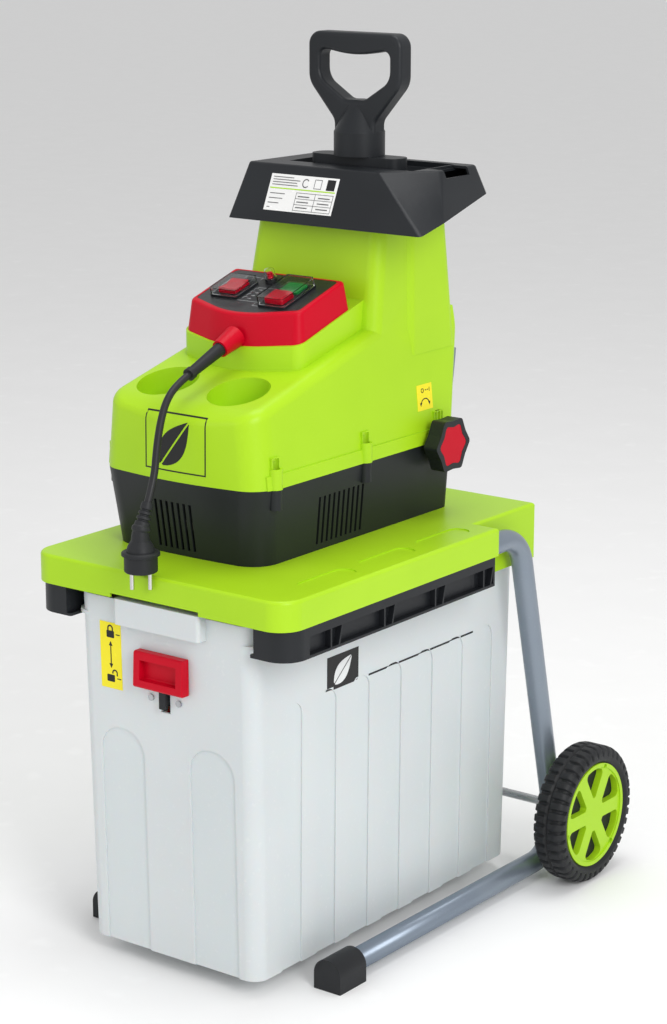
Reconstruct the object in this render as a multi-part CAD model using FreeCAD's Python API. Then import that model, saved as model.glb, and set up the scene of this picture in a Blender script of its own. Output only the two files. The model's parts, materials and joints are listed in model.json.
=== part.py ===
import FreeCAD, Part
import math
import os

# Electric silent shredder: a tube frame on two wheels and two feet carries a deck, a pull-out
# collection box hangs in rails below the deck, and the motor, gear train and cutting roller sit
# in a two-part housing on top of it, under a hopper with a plunger.
# Frame of the model: X to the machine's right (knob side), Y to the rear (wheels), Z up from the
# floor, in millimetres. Names ending in _Y0, _Y1 and the like are the two ends of a stretch.

V = FreeCAD.Vector
GAP = 0.3            # running clearance between pieces that are not bolted together
WALL = 3.0           # wall of the moulded shells

# ---- deck
DECK_HALF = 175.0
DECK_FRONT = -302.7
DECK_SHELF_REAR = 82.5
DECK_REAR = 206.3
DECK_TOP = 453.8
DECK_EDGE = DECK_TOP - 32.2
DECK_TAIL_EDGE = DECK_EDGE - 33.6
DECK_WALL = 2.6
DECK_CORNER = 28.0
DECK_ROUND = 4.0
DECK_NOTCH_HALF = 60.5
DECK_NOTCH_RISE = 4.5
GRIP_RECESS_X = DECK_HALF - 29.0
GRIP_RECESS_YS = (-196.0, -90.0, 14.0)
GRIP_RECESS_LENGTH = 84.0
GRIP_RECESS_WIDTH = 25.0
GRIP_RECESS_DEPTH = 1.2

# ---- rails that carry the box
RAIL_FRONT = -297.0
RAIL_REAR = 77.0
RAIL_BOTTOM = DECK_TAIL_EDGE
RAIL_LEDGE = 3.0
RAIL_OUTER = DECK_HALF - 1.0
RAIL_BAND = 10.5
RAIL_WEB_INSET = 7.0
RAIL_RIB = 2.5
RAIL_RIB_PAIRS = 4
RAIL_RIB_SPREAD = 13.0

# ---- collection box
BOX_TOP_HALF = DECK_HALF - 54.5
BOX_BOTTOM_HALF = BOX_TOP_HALF - 3.0
BOX_BOTTOM_Z = 20.3
BOX_RIM_Z = RAIL_BOTTOM + RAIL_LEDGE + GAP
BOX_TOP_Z = DECK_EDGE - 6.1
BOX_FRONT_BOTTOM = -280.3
BOX_FRONT_TOP = -288.0
BOX_REAR_BOTTOM = 197.0
BOX_REAR_TOP = 202.5
BOX_WALL = 3.6
BOX_CORNER = 18.0
BOX_RIM_HALF = BOX_TOP_HALF + 6.5
RAIL_INNER_WALL = BOX_RIM_HALF + 1.5
RAIL_LEDGE_INNER = BOX_TOP_HALF + 2.0
BOX_RIM_THICK = 4.0
FLUTE_DEPTH = 1.8
FLUTE_WIDTH = 34.0
FLUTE_PITCH = 60.0
FLUTE_TOP = BOX_RIM_Z - 73.3
SIDE_FLUTES = 7
FRONT_FLUTE_X = 62.0
APRON_HALF = 58.5
APRON_FRONT = -300.5
APRON_BOTTOM = BOX_RIM_Z + 0.7
APRON_TOP = DECK_EDGE - 1.3
LATCH_X = 0.5
LATCH_HALF = 34.0
LATCH_TOP = BOX_RIM_Z - 24.3
LATCH_BOTTOM = LATCH_TOP - 40.0
LATCH_DEPTH = 12.0
LATCH_OFF_WALL = 1.6
LATCH_TRAVEL = 18.0
STEM_WIDTH = 9.0
STEM_BOTTOM = LATCH_BOTTOM - 21.0
STEM_TOP = LATCH_BOTTOM + 20.0
STEM_REACH = 10.0
HOOK_THICK = 3.0
HOOK_TOP = BOX_TOP_Z - 1.5
KEEPER_GAP = 2.1
KEEPER_THICK = 8.5
KEEPER_HALF = 14.0
LATCH_SCREW_R = 1.6
LATCH_SCREW_HEAD_R = 3.6
LATCH_SCREW_SPREAD = 19.0
LATCH_SCREW_Z = LATCH_BOTTOM - 12.0
LATCH_LABEL_X0, LATCH_LABEL_X1 = -89.0, -59.5
LATCH_LABEL_Z0, LATCH_LABEL_Z1 = LATCH_BOTTOM - 13.0, LATCH_BOTTOM + 61.0
LABEL_THICK = 0.4

# ---- side frames, feet, axle and wheels
TUBE_R = 12.5
TUBE_WALL = 1.6
TUBE_X = DECK_HALF - DECK_WALL - TUBE_R - GAP
DECK_TAIL_HALF = TUBE_X - TUBE_R - 4.9
TUBE_TOP_Z = DECK_EDGE + 8.4
TUBE_FRONT_TOP = -60.0
TUBE_TOP_VERTEX_Y = 146.8
TUBE_FLOOR_Z = 18.5
TUBE_LOW_VERTEX_Y = 243.5
TUBE_FRONT_LOW = -206.0
TUBE_TOP_BEND = 45.0
TUBE_LOW_BEND = 42.0
FOOT_Y0, FOOT_Y1 = -214.6, -167.6
FOOT_R = 17.7
FRAME_BOLT_YS = (-35.0, 45.0)
FRAME_BOLT_R = 3.0
BOSS_R = 8.0
AXLE_Y = 226.0
WHEEL_R = 82.2
AXLE_R = 5.0
CAP_R, CAP_THICK, CAP_INSET = 9.0, 4.0, 8.0
WHEEL_OUT = DECK_HALF + 50.0
TYRE_WIDTH = 40.0
HUB_RIM_R = WHEEL_R - 20.2
HUB_R = 15.0
HUB_FACE_R = 21.0
HUB_FACE_INSET = 4.0
HUB_WEB = 24.0
HUB_NOTCHES = 3
SPOKES = 6
SPOKE_HALF = 8.5
TREAD_BLOCKS = 36
TREAD_DEPTH = 3.2

# ---- housing: sections are (x left, x right, y front corner, y rear, bow of the front)
BASE_SECTION = (-135.0, 71.5, -215.0, 134.0, 6.0)
PARTING_SECTION = (-144.0, 79.0, -222.0, 133.0, 15.0)
CROWN_SECTION = (-130.0, 64.5, -222.0, 163.0, 12.0)
PARTING_Z = DECK_TOP + 84.2
CROWN_Z = PARTING_Z + 147.0
FRONT_CORNER = 32.0
REAR_CORNER = 12.0
NOSE_FRONT = -238.0
NOSE_SLOPE = 0.27
NOSE_TOP_AT_NECK = CROWN_Z - 7.0
NOSE_ROUND = 45.0
NOSE_EDGE_ROUND = 14.0
NECK_FOOT_Z = PARTING_Z + 102.0
NECK_TOP_Z = NECK_FOOT_Z + 182.0
NECK_FOOT = (-127.0, 66.0, -9.0, 152.0)
NECK_HEAD = (-106.0, 63.5, 12.0, 130.0)
NECK_CORNER = 16.0
NECK_STEP = 4.0
NECK_STEP_Y = 52.0
BAND_HEIGHT = 15.0
BAND_PROUD = 2.0
SCREW_BOSS_R = 8.0
SCREW_BOSS_IN = 1.5
SCREW_BOSS_YS = (-195.0, -37.0, 104.0)
SCREW_R = 2.5
POCKET_XS = (-85.0, 13.0)
POCKET_Y = -175.0
POCKET_R = 34.0
POCKET_FLOOR = PARTING_Z + 66.0
PLATE_STRIP_BELOW, PLATE_STRIP_INSET = 38.0, 12.0
PLATE_STRIP_WIDTH, PLATE_STRIP_THICK = 16.0, 2.5
VENT_SLOT = 3.6
FRONT_VENTS = 7
FRONT_VENT_X, FRONT_VENT_PITCH = -36.0, 8.0
SIDE_VENTS = 10
SIDE_VENT_Y, SIDE_VENT_PITCH = -117.0, 8.6
VENT_Z0, VENT_Z1 = DECK_TOP + 7.2, DECK_TOP + 60.2

# ---- hopper rim, feed chute and plunger
RIM_BOTTOM = ((-127.0, -20.0), (137.0, -20.0), (115.0, 141.0), (-121.0, 141.0))
RIM_TOP = ((-118.0, 7.0), (62.0, 7.0), (106.0, 62.0), (106.0, 133.0), (-112.0, 133.0))
RIM_SIDE_BOW = 2.5
RATING_LABEL_X0, RATING_LABEL_X1 = -80.0, 13.5
RIM_BOTTOM_Z = NECK_TOP_Z - 35.0
RIM_RISE = 30.0
RIM_TOP_Z = NECK_TOP_Z + 26.0
RIM_PLATE = 3.0
RIM_ROUND = 4.0
MOUTH = (-84.0, 84.0, 38.0, 119.0)
THROAT = (-50.0, 50.0, 42.0, 110.0)
THROAT_Z = NECK_TOP_Z + 1.0
CHUTE_FLANGE = 4.0
RIM_NOTCH_Y0, RIM_NOTCH_Y1 = 66.0, 112.0
RIM_NOTCH_DEPTH = 9.0
PLUNGER_X, PLUNGER_Y = -3.0, 60.0
PLUNGER_TOP = RIM_TOP_Z + 144.0
PLUNGER_FLANGE_Z0, PLUNGER_FLANGE_Z1 = THROAT_Z + 9.0, RIM_TOP_Z + 10.0
PLUNGER_FLANGE_Y = 16.0
PADDLE_HALF_X, PADDLE_HALF_Y = 44.0, 13.0
PADDLE_BOTTOM = NECK_TOP_Z - 110.0
GRIP_HALF, GRIP_THICK, GRIP_STEM_HALF = 63.0, 24.0, 27.5
GRIP_EDGE_R = 5.0
GRIP_SHOULDER_Z, GRIP_STEM_Z = PLUNGER_TOP - 55.0, PLUNGER_TOP - 96.0
WINDOW_HALF, WINDOW_TOP, WINDOW_BOTTOM = 47.5, PLUNGER_TOP - 18.0, PLUNGER_TOP - 73.0
COLLAR_R, COLLAR_TOP, CONE_TOP = 28.5, PLUNGER_TOP - 108.0, PLUNGER_TOP - 68.0

# ---- control unit: a bezel on the sloping pedestal, laid out in the panel's own plane
PANEL_SLOPE = 0.31
PANEL_X = -34.0
BEZEL_HALF = 80.0
BEZEL_FRONT, BEZEL_BOW, BEZEL_REAR = -111.0, 25.0, -22.0
BEZEL_FOOT_Z = CROWN_Z - 18.2
BEZEL_TOP_Z = BEZEL_FOOT_Z + 32.5
BEZEL_LIP = 9.0
BEZEL_TAPER = 4.0
BEZEL_ROUND = 4.0
PANEL_THICK = 3.0
DIRECTION_XY = (-73.0, -75.0)
DIRECTION_SIZE = (38.0, 42.0)
POWER_XY = (0.5, -76.0)
POWER_SIZE = (38.0, 60.0)
BREAKER_XY = (-42.0, -49.0)
BREAKER_R = 7.0
SWITCH_FRAME = 4.0
SWITCH_BODY_DEPTH = 22.0
SWITCH_FLANGE = 2.0
DIRECTION_COVER_HEIGHT, POWER_COVER_HEIGHT, COVER_WALL = 9.5, 11.5, 1.2
STOP_HEIGHT, START_HEIGHT = 8.5, 4.2

# ---- drive: motor, two gear stages and the cutting roller
MOTOR_X, MOTOR_Z = -28.0, DECK_TOP + 78.2
MOTOR_Y0, MOTOR_Y1 = -196.0, -101.0
MOTOR_R, MOTOR_BORE = 56.0, 32.0
SHAFT_R = 7.0
STAGE1_MODULE, STAGE1_TEETH = 1.5, (10, 50)
STAGE2_MODULE, STAGE2_TEETH = 2.5, (11, 44)
STAGE1_BEARING_DEG, STAGE2_BEARING_DEG = 148.0, -20.0
STAGE1_Y0, STAGE1_Y1 = -80.0, -64.0
STAGE2_Y0, STAGE2_Y1 = -54.0, -26.0
CASE_Y0, CASE_Y1, CASE_WALL = -92.0, -14.0, 5.0
ROLLER_R, ROLLER_ROOT_R, ROLLER_TEETH = 36.0, 28.0, 8
ROLLER_SHAFT_R = 10.0
CUTTER_Y0, CUTTER_Y1, CUTTER_WALL = 6.0, 120.0, 5.0
CUTTER_X0, CUTTER_X1 = -48.0, 67.5
CUTTER_Z0, CUTTER_Z1 = DECK_TOP - 9.8, DECK_TOP + 138.2
PLATE_GAP, PLATE_THICK, PLATE_HALF_Z = 1.6, 19.0, 30.0
KNOB_Y, KNOB_Z = 93.0, DECK_TOP + 83.2
KNOB_X0, KNOB_X1 = 87.0, 105.0
KNOB_R, KNOB_LOBES, KNOB_WAVE = 30.5, 6, 3.0
SCREW_THREAD_R = 6.0

# ---- mains cord: the route of its middle line, from the strain relief to the plug
CORD_D = 8.0
CORD_DROPS = ((-28.0, -208.0, 18.0), (-28.0, -226.68, 25.14), (-26.0, -246.5, 38.0),
              (-21.5, -262.5, 60.0), (-15.0, -276.5, 85.5), (-7.0, -289.5, 110.36),
              (-7.0, -300.5, 135.0))
CORD_ROUTE = tuple((x, y, BEZEL_FOOT_Z - drop) for x, y, drop in CORD_DROPS)
RELIEF_ROOT = (-28.0, -152.0, BEZEL_FOOT_Z + 3.4)
RELIEF_R0, RELIEF_R1 = 7.5, 5.6
RELIEF_SEAT = 4.0
RELIEF_COLLAR = 6.0
PLUG_AXIS = (-7.0, -313.0)
PLUG_TOP_Z = CORD_ROUTE[-1][2]
PLUG_BODY_Z, PLUG_PIN_Z = PLUG_TOP_Z - 71.0, PLUG_TOP_Z - 90.0
PLUG_PIN_R, PLUG_PIN_HALF_SPAN = 2.4, 9.5
PLUG_FLANGE_R, PLUG_DISC_R = 20.3, 17.6


# ======================================================================= small shape helpers
def block(x0, x1, y0, y1, z0, z1):
    """Box between three pairs of planes."""
    return Part.makeBox(x1 - x0, y1 - y0, z1 - z0, V(x0, y0, z0))


def rod(start, end, radius):
    """Cylinder from one point to another."""
    a, b = V(*start), V(*end)
    return Part.makeCylinder(radius, (b - a).Length, a, b - a)


def cone(start, end, r0, r1):
    """Truncated cone from one point to another."""
    a, b = V(*start), V(*end)
    return Part.makeCone(r0, r1, (b - a).Length, a, b - a)


def ring(start, end, outer, inner):
    """Round tube from one point to another."""
    return rod(start, end, outer).cut(rod(start, end, inner))


def corners_wire(points):
    """Closed wire through (point, radius) corners, each turned with a tangent arc."""
    count = len(points)
    edges = []
    ends = []
    for i in range(count):
        here, radius = points[i]
        before = (points[i - 1][0] - here).normalize()
        after = (points[(i + 1) % count][0] - here).normalize()
        if radius <= 0:
            ends.append((here, None, here))
            continue
        half = before.getAngle(after) / 2
        reach = radius / math.tan(half)
        middle = (before + after).normalize() * (radius / math.sin(half) - radius)
        ends.append((here + before * reach, here + middle, here + after * reach))
    for i in range(count):
        first, middle, last = ends[i]
        if middle is not None:
            edges.append(Part.Arc(first, middle, last).toShape())
        following = ends[(i + 1) % count][0]
        edges.append(Part.LineSegment(last, following).toShape())
    return Part.Wire(edges)


def prism(points, axis, start, end):
    """Solid on a rounded outline [(u, v, radius)], pushed along X, Y or Z."""
    place = {"x": lambda u, v: V(start, u, v),
             "y": lambda u, v: V(u, start, v),
             "z": lambda u, v: V(u, v, start)}[axis]
    push = {"x": V(1, 0, 0), "y": V(0, 1, 0), "z": V(0, 0, 1)}[axis] * (end - start)
    outline = corners_wire([(place(p[0], p[1]), p[2] if len(p) > 2 else 0) for p in points])
    return Part.Face(outline).extrude(push)


def fuse(shapes):
    """One solid out of several that touch or overlap."""
    joined = shapes[0].fuse(shapes[1:]) if len(shapes) > 1 else shapes[0]
    return joined.removeSplitter()


def mirror(shape):
    """The same piece on the other side of the middle plane."""
    return shape.mirror(V(0, 0, 0), V(1, 0, 0))


def save(name, shape):
    """One STEP file per piece."""
    if not shape.isValid():
        print("not valid:", name)
    print(f"{name:20s} solids {len(shape.Solids)}  volume {shape.Volume / 1000:9.2f} cm3")
    shape.exportStep(f"parts/{name}.step")


def mix(first, second, share):
    """Point on the way from one tuple of numbers to another."""
    return tuple(a + (b - a) * share for a, b in zip(first, second))


# ======================================================================= housing outlines
def plan_wire(section, z, inset=0.0):
    """Rounded plan outline of the housing with its bowed front, at one height."""
    x0, x1, front, rear, bow = section
    x0, x1, front, rear = x0 + inset, x1 - inset, front + inset, rear - inset
    half = (x1 - x0) / 2
    return corners_wire([(V(x0, rear, z), REAR_CORNER - inset),
                         (V(x0, front, z), FRONT_CORNER - inset),
                         (V((x0 + x1) / 2, front - bow, z), 0.55 * half * half / bow),
                         (V(x1, front, z), FRONT_CORNER - inset),
                         (V(x1, rear, z), REAR_CORNER - inset)])


def shell_between(low, low_z, high, high_z, z0, z1, inset):
    """Solid between two heights of a tapering plan; heights may lie beyond the given sections."""
    sections = [mix(low, high, (z - low_z) / (high_z - low_z)) for z in (z0, z1)]
    return Part.makeLoft([plan_wire(s, z, inset) for s, z in zip(sections, (z0, z1))], True, True)


def lower_body(z0, z1, inset=0.0):
    """Solid of the black lower housing's plan between two heights."""
    return shell_between(BASE_SECTION, DECK_TOP, PARTING_SECTION, PARTING_Z, z0, z1, inset)


def crown_body(z0, z1, inset=0.0):
    """Solid of the green housing's plan between two heights."""
    return shell_between(PARTING_SECTION, PARTING_Z, CROWN_SECTION, CROWN_Z, z0, z1, inset)


def nose_height(y):
    """Height of the nose's sloping top."""
    return NOSE_TOP_AT_NECK + NOSE_SLOPE * y


def side_profile(inset=0.0):
    """Side view of the nose and of the rear that leans back, as a block across the machine."""
    front = NOSE_FRONT + inset
    foot = PARTING_Z - 10
    rear = NECK_FOOT[3] + 1 - inset
    outline = [(front, foot, 0), (front, nose_height(front) - inset, NOSE_ROUND - inset),
               (0, NOSE_TOP_AT_NECK - inset, 0), (25, CROWN_Z - inset, 0),
               (rear - 6, CROWN_Z - inset, 0), (rear, NECK_FOOT_Z, 0), (rear, foot, 0)]
    return prism(outline, "x", PARTING_SECTION[0] - 20, PARTING_SECTION[1] + 20)


def neck_wire(section, z, inset):
    """Rounded rectangle of the neck at one height."""
    x0, x1, front, rear = section
    radius = NECK_CORNER - inset
    x0, x1, front, rear = x0 + inset, x1 - inset, front + inset, rear - inset
    return corners_wire([(V(x, y, z), radius)
                         for x, y in ((x0, rear), (x0, front), (x1, front), (x1, rear))])


def neck_body(z0, z1, inset=0.0):
    """Tapering neck with its wider rear part."""
    parts = []
    for widen, front in ((0.0, None), (NECK_STEP, NECK_STEP_Y)):
        wires = []
        for z in (z0, z1):
            x0, x1, y0, y1 = mix(NECK_FOOT, NECK_HEAD, (z - NECK_FOOT_Z) / (NECK_TOP_Z - NECK_FOOT_Z))
            section = (x0 - widen, x1 + widen, y0 if front is None else front, y1)
            wires.append(neck_wire(section, z, inset))
        parts.append(Part.makeLoft(wires, True, True))
    return parts[0].fuse(parts[1])


def panel_height(y, at_front):
    """Height of a plane with the panel's slope that has the given height at the bezel's front."""
    return at_front + PANEL_SLOPE * (y - BEZEL_FRONT + BEZEL_BOW)


def bezel_wire(grow, at_front, rear=BEZEL_REAR):
    """Bowed outline of the control unit on its sloping plane."""
    x0, x1 = PANEL_X - BEZEL_HALF - grow, PANEL_X + BEZEL_HALF + grow
    front, bow_y, rear = BEZEL_FRONT - grow, BEZEL_FRONT - BEZEL_BOW - grow, rear + grow
    corner = 14.0 + grow
    half = BEZEL_HALF + grow
    plan = ((x0, rear, 6.0), (x0, front, corner), (PANEL_X, bow_y, 0.5 * half * half / BEZEL_BOW),
            (x1, front, corner), (x1, rear, 6.0))
    return corners_wire([(V(x, y, panel_height(y, at_front)), r) for x, y, r in plan])


def bezel_solid(grow_low, low, grow_high, high, rear=BEZEL_REAR):
    """Solid between two sloping outlines of the control unit."""
    return Part.makeLoft([bezel_wire(grow_low, low, rear), bezel_wire(grow_high, high, rear)], True, True)


# ======================================================================= frame and wheels
def tube_path():
    """Middle line of a side frame: out of the deck, down behind the wheel and forward on the floor."""
    x = TUBE_X
    corners = [(V(x, TUBE_FRONT_TOP, TUBE_TOP_Z), 0),
               (V(x, TUBE_TOP_VERTEX_Y, TUBE_TOP_Z), TUBE_TOP_BEND),
               (V(x, TUBE_LOW_VERTEX_Y, TUBE_FLOOR_Z), TUBE_LOW_BEND),
               (V(x, TUBE_FRONT_LOW, TUBE_FLOOR_Z), 0)]
    return open_path(corners)


def open_path(corners):
    """Open wire through (point, radius) corners: straight runs joined by tangent arcs."""
    edges = []
    last = corners[0][0]
    for i in range(1, len(corners) - 1):
        here, radius = corners[i]
        before = (corners[i - 1][0] - here).normalize()
        after = (corners[i + 1][0] - here).normalize()
        half = before.getAngle(after) / 2
        reach = radius / math.tan(half)
        middle = (before + after).normalize() * (radius / math.sin(half) - radius)
        edges.append(Part.LineSegment(last, here + before * reach).toShape())
        edges.append(Part.Arc(here + before * reach, here + middle, here + after * reach).toShape())
        last = here + after * reach
    edges.append(Part.LineSegment(last, corners[-1][0]).toShape())
    return Part.Wire(edges)


def swept_round(path, radius):
    """Round bar along an open wire."""
    start = path.Edges[0]
    tangent = start.tangentAt(start.FirstParameter)
    circle = Part.Wire([Part.makeCircle(radius, start.valueAt(start.FirstParameter), tangent)])
    return path.makePipeShell([circle], True, True)


def side_frame():
    """Bent steel tube of the right side, drilled for the axle and the two bolts."""
    path = tube_path()
    tube = swept_round(path, TUBE_R).cut(swept_round(path, TUBE_R - TUBE_WALL))
    across = 2 * TUBE_R
    drill = [rod((TUBE_X - across, AXLE_Y, WHEEL_R), (TUBE_X + across, AXLE_Y, WHEEL_R), AXLE_R + 0.1)]
    for y in FRAME_BOLT_YS:
        drill.append(rod((TUBE_X, y, RAIL_BOTTOM), (TUBE_X, y, DECK_TOP), FRAME_BOLT_R + GAP))
    return tube.cut(drill)


def foot():
    """Rubber cap on the floor tube's front end: a barrel on a block."""
    barrel = rod((TUBE_X, FOOT_Y0, TUBE_FLOOR_Z), (TUBE_X, FOOT_Y1, TUBE_FLOOR_Z), FOOT_R)
    base = block(TUBE_X - FOOT_R, TUBE_X + FOOT_R, FOOT_Y0, FOOT_Y1, 0, TUBE_FLOOR_Z)
    seat = rod((TUBE_X, TUBE_FRONT_LOW, TUBE_FLOOR_Z), (TUBE_X, FOOT_Y1, TUBE_FLOOR_Z), TUBE_R + 0.05)
    return barrel.fuse(base).removeSplitter().cut(seat)


def frame_bolt(y):
    """Bolt up through rail, tube and deck boss."""
    head = rod((TUBE_X, y, RAIL_BOTTOM - 4), (TUBE_X, y, RAIL_BOTTOM), 6.0)
    shank = rod((TUBE_X, y, RAIL_BOTTOM), (TUBE_X, y, DECK_TOP - DECK_WALL - 1), FRAME_BOLT_R)
    return head.fuse(shank)


def hub():
    """Wheel hub of the right side: rim, deep spokes with a closed face, boss that reaches the tube."""
    x1 = WHEEL_OUT
    x0 = WHEEL_OUT - TYRE_WIDTH
    face = x1 - HUB_FACE_INSET

    def along(a, b, r):
        return rod((a, AXLE_Y, WHEEL_R), (b, AXLE_Y, WHEEL_R), r)

    rim = along(x0 + 4, x1 - 2, HUB_RIM_R).cut(along(x0 + 3, x1 - 1, HUB_RIM_R - 5))
    web = along(face - HUB_WEB, face, HUB_RIM_R - 4)
    boss = along(TUBE_X + TUBE_R + GAP, face, HUB_R)
    windows = [hub_window(face, 360.0 / SPOKES * (i + 0.5)) for i in range(SPOKES)]
    notches = []
    for i in range(HUB_NOTCHES):
        notch = block(x1 - 6, x1, -3, 3, HUB_RIM_R - 6, HUB_RIM_R - 1.5)
        notch.rotate(V(0, 0, 0), V(1, 0, 0), 360.0 / HUB_NOTCHES * i + 100)
        notch.translate(V(0, AXLE_Y, WHEEL_R))
        notches.append(notch)
    bore = along(TUBE_X, WHEEL_OUT - CAP_INSET, AXLE_R + 0.2)
    cap_seat = along(WHEEL_OUT - CAP_INSET - CAP_THICK - GAP, WHEEL_OUT - CAP_INSET + GAP, CAP_R + GAP)
    return rim.fuse([web.cut(windows), boss]).cut(notches + [bore, cap_seat])


def hub_window(face, angle):
    """Opening between two spokes, a ring sector with rounded corners."""
    inner, outer = HUB_FACE_R, HUB_RIM_R - 7
    half = math.pi / SPOKES
    low = half - SPOKE_HALF / inner
    high = half - SPOKE_HALF / outer
    outline = []
    for radius, share, corner in ((inner, -low, 2.0), (outer, -high, 6.0), (outer + 2.5, 0.0, 20.0),
                                  (outer, high, 6.0), (inner, low, 2.0)):
        outline.append((radius * math.cos(share), radius * math.sin(share), corner))
    window = prism(outline, "x", face - 2 * HUB_WEB, face + HUB_WEB)
    window.rotate(V(0, 0, 0), V(1, 0, 0), angle)
    window.translate(V(0, AXLE_Y, WHEEL_R))
    return window


def tyre():
    """Moulded tyre of the right side: rounded shoulders, two rows of tread blocks."""
    x0, x1 = WHEEL_OUT - TYRE_WIDTH, WHEEL_OUT
    shoulder = 7.0
    inner = HUB_RIM_R + 0.05
    outline = [(x0, inner, 0), (x0, WHEEL_R, shoulder), (x1, WHEEL_R, shoulder), (x1, inner, 0)]
    points = [(V(x, 0, r), c) for x, r, c in outline]
    body = Part.Face(corners_wire(points)).revolve(V(0, 0, 0), V(1, 0, 0), 360)
    groove = rod(((x0 + x1) / 2 - 1.6, 0, 0), ((x0 + x1) / 2 + 1.6, 0, 0), WHEEL_R + 1)
    groove = groove.cut(rod((x0, 0, 0), (x1, 0, 0), WHEEL_R - TREAD_DEPTH))
    cuts = [groove]
    step = 360.0 / TREAD_BLOCKS
    for side, shift in ((-1, 0.0), (1, 0.5)):
        middle = (x0 + x1) / 2
        a, b = sorted((middle + side * 7.5, middle + side * (TYRE_WIDTH / 2 + 1)))
        for i in range(TREAD_BLOCKS):
            slot = block(a, b, -1.6, 1.6, WHEEL_R - TREAD_DEPTH, WHEEL_R + 2)
            slot.rotate(V(0, 0, 0), V(1, 0, 0), step * (i + shift))
            cuts.append(slot)
    body = body.cut(cuts)
    body.translate(V(0, AXLE_Y, WHEEL_R))
    return body


def build_frame():
    """Side frames, feet, axle, wheels and their fasteners."""
    right_frame, right_foot = side_frame(), foot()
    bolts = [frame_bolt(y) for y in FRAME_BOLT_YS]
    right_hub, right_tyre = hub(), tyre()
    axle_end = WHEEL_OUT - CAP_INSET
    axle = rod((-axle_end, AXLE_Y, WHEEL_R), (axle_end, AXLE_Y, WHEEL_R), AXLE_R)
    cap = ring((axle_end - CAP_THICK, AXLE_Y, WHEEL_R), (axle_end, AXLE_Y, WHEEL_R), CAP_R, AXLE_R)
    for side, turn in (("right", lambda s: s), ("left", mirror)):
        save(f"side_frame_{side}", turn(right_frame))
        save(f"foot_{side}", turn(right_foot))
        save(f"hub_{side}", turn(right_hub))
        save(f"tyre_{side}", turn(right_tyre))
    save("axle", axle)
    save("axle_caps", Part.Compound([cap, mirror(cap)]))
    save("frame_bolts", Part.Compound(bolts + [mirror(b) for b in bolts]))


# ======================================================================= deck, rails and box
def deck_plan(half, front, rear, corner, z0, z1):
    """Block of the deck with its two rounded front corners."""
    return prism([(-half, rear, 0), (-half, front, corner), (half, front, corner), (half, rear, 0)],
                 "z", z0, z1)


def deck_cover():
    """Green cover plate: a shelf over the rails and a narrower, deeper tail behind."""
    shelf = deck_plan(DECK_HALF, DECK_FRONT, DECK_SHELF_REAR, DECK_CORNER, DECK_EDGE, DECK_TOP)
    tail = block(-DECK_TAIL_HALF, DECK_TAIL_HALF, 0, DECK_REAR, DECK_TAIL_EDGE, DECK_TOP)
    tail = tail.cut(block(-DECK_TAIL_HALF, DECK_TAIL_HALF, 0, DECK_SHELF_REAR, DECK_TAIL_EDGE, DECK_EDGE))
    w = DECK_WALL
    inner_top = DECK_TOP - w
    hollow = deck_plan(DECK_HALF - w, DECK_FRONT + w, DECK_SHELF_REAR - w, DECK_CORNER - w,
                       DECK_EDGE, inner_top)
    tail_half = DECK_TAIL_HALF - w
    hollow_tail = block(-tail_half, tail_half, 0, DECK_REAR - w, DECK_TAIL_EDGE, inner_top)
    solid = shelf.fuse(tail).removeSplitter()
    solid = solid.makeFillet(DECK_ROUND, [e for e in solid.Edges if e.BoundBox.ZMin > DECK_TOP - 0.01])
    body = solid.cut([hollow, hollow_tail])
    bosses = []
    cuts = [block(-DECK_NOTCH_HALF, DECK_NOTCH_HALF, DECK_FRONT - 1, DECK_FRONT + 2 * w,
                  DECK_EDGE, DECK_EDGE + DECK_NOTCH_RISE),
            block(CUTTER_X0 - 1, CUTTER_X1 + 1, CUTTER_Y0 - 1, CUTTER_Y1 + 1, DECK_EDGE, DECK_TOP)]
    for side in (-1, 1):
        x = side * TUBE_X
        cuts.append(rod((x, TUBE_FRONT_TOP, TUBE_TOP_Z), (x, DECK_REAR, TUBE_TOP_Z), TUBE_R + GAP))
        cuts.append(block(x - TUBE_R - GAP, x + TUBE_R + GAP, DECK_SHELF_REAR - 2 * w, DECK_SHELF_REAR + w,
                          DECK_EDGE, TUBE_TOP_Z))
        for y in FRAME_BOLT_YS:
            bosses.append(rod((x, y, TUBE_TOP_Z), (x, y, inner_top), BOSS_R))
            cuts.append(rod((x, y, DECK_EDGE), (x, y, inner_top - 0.5), FRAME_BOLT_R + 0.1))
    for y in GRIP_RECESS_YS:
        a, b = GRIP_RECESS_LENGTH / 2, GRIP_RECESS_WIDTH / 2
        cuts.append(prism([(GRIP_RECESS_X - b, y - a, b - 1), (GRIP_RECESS_X + b, y - a, b - 1),
                           (GRIP_RECESS_X + b, y + a, b - 1), (GRIP_RECESS_X - b, y + a, b - 1)],
                          "z", DECK_TOP - GRIP_RECESS_DEPTH, DECK_TOP + 1))
    return body.fuse(bosses + [latch_keeper()]).cut(cuts)


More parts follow.
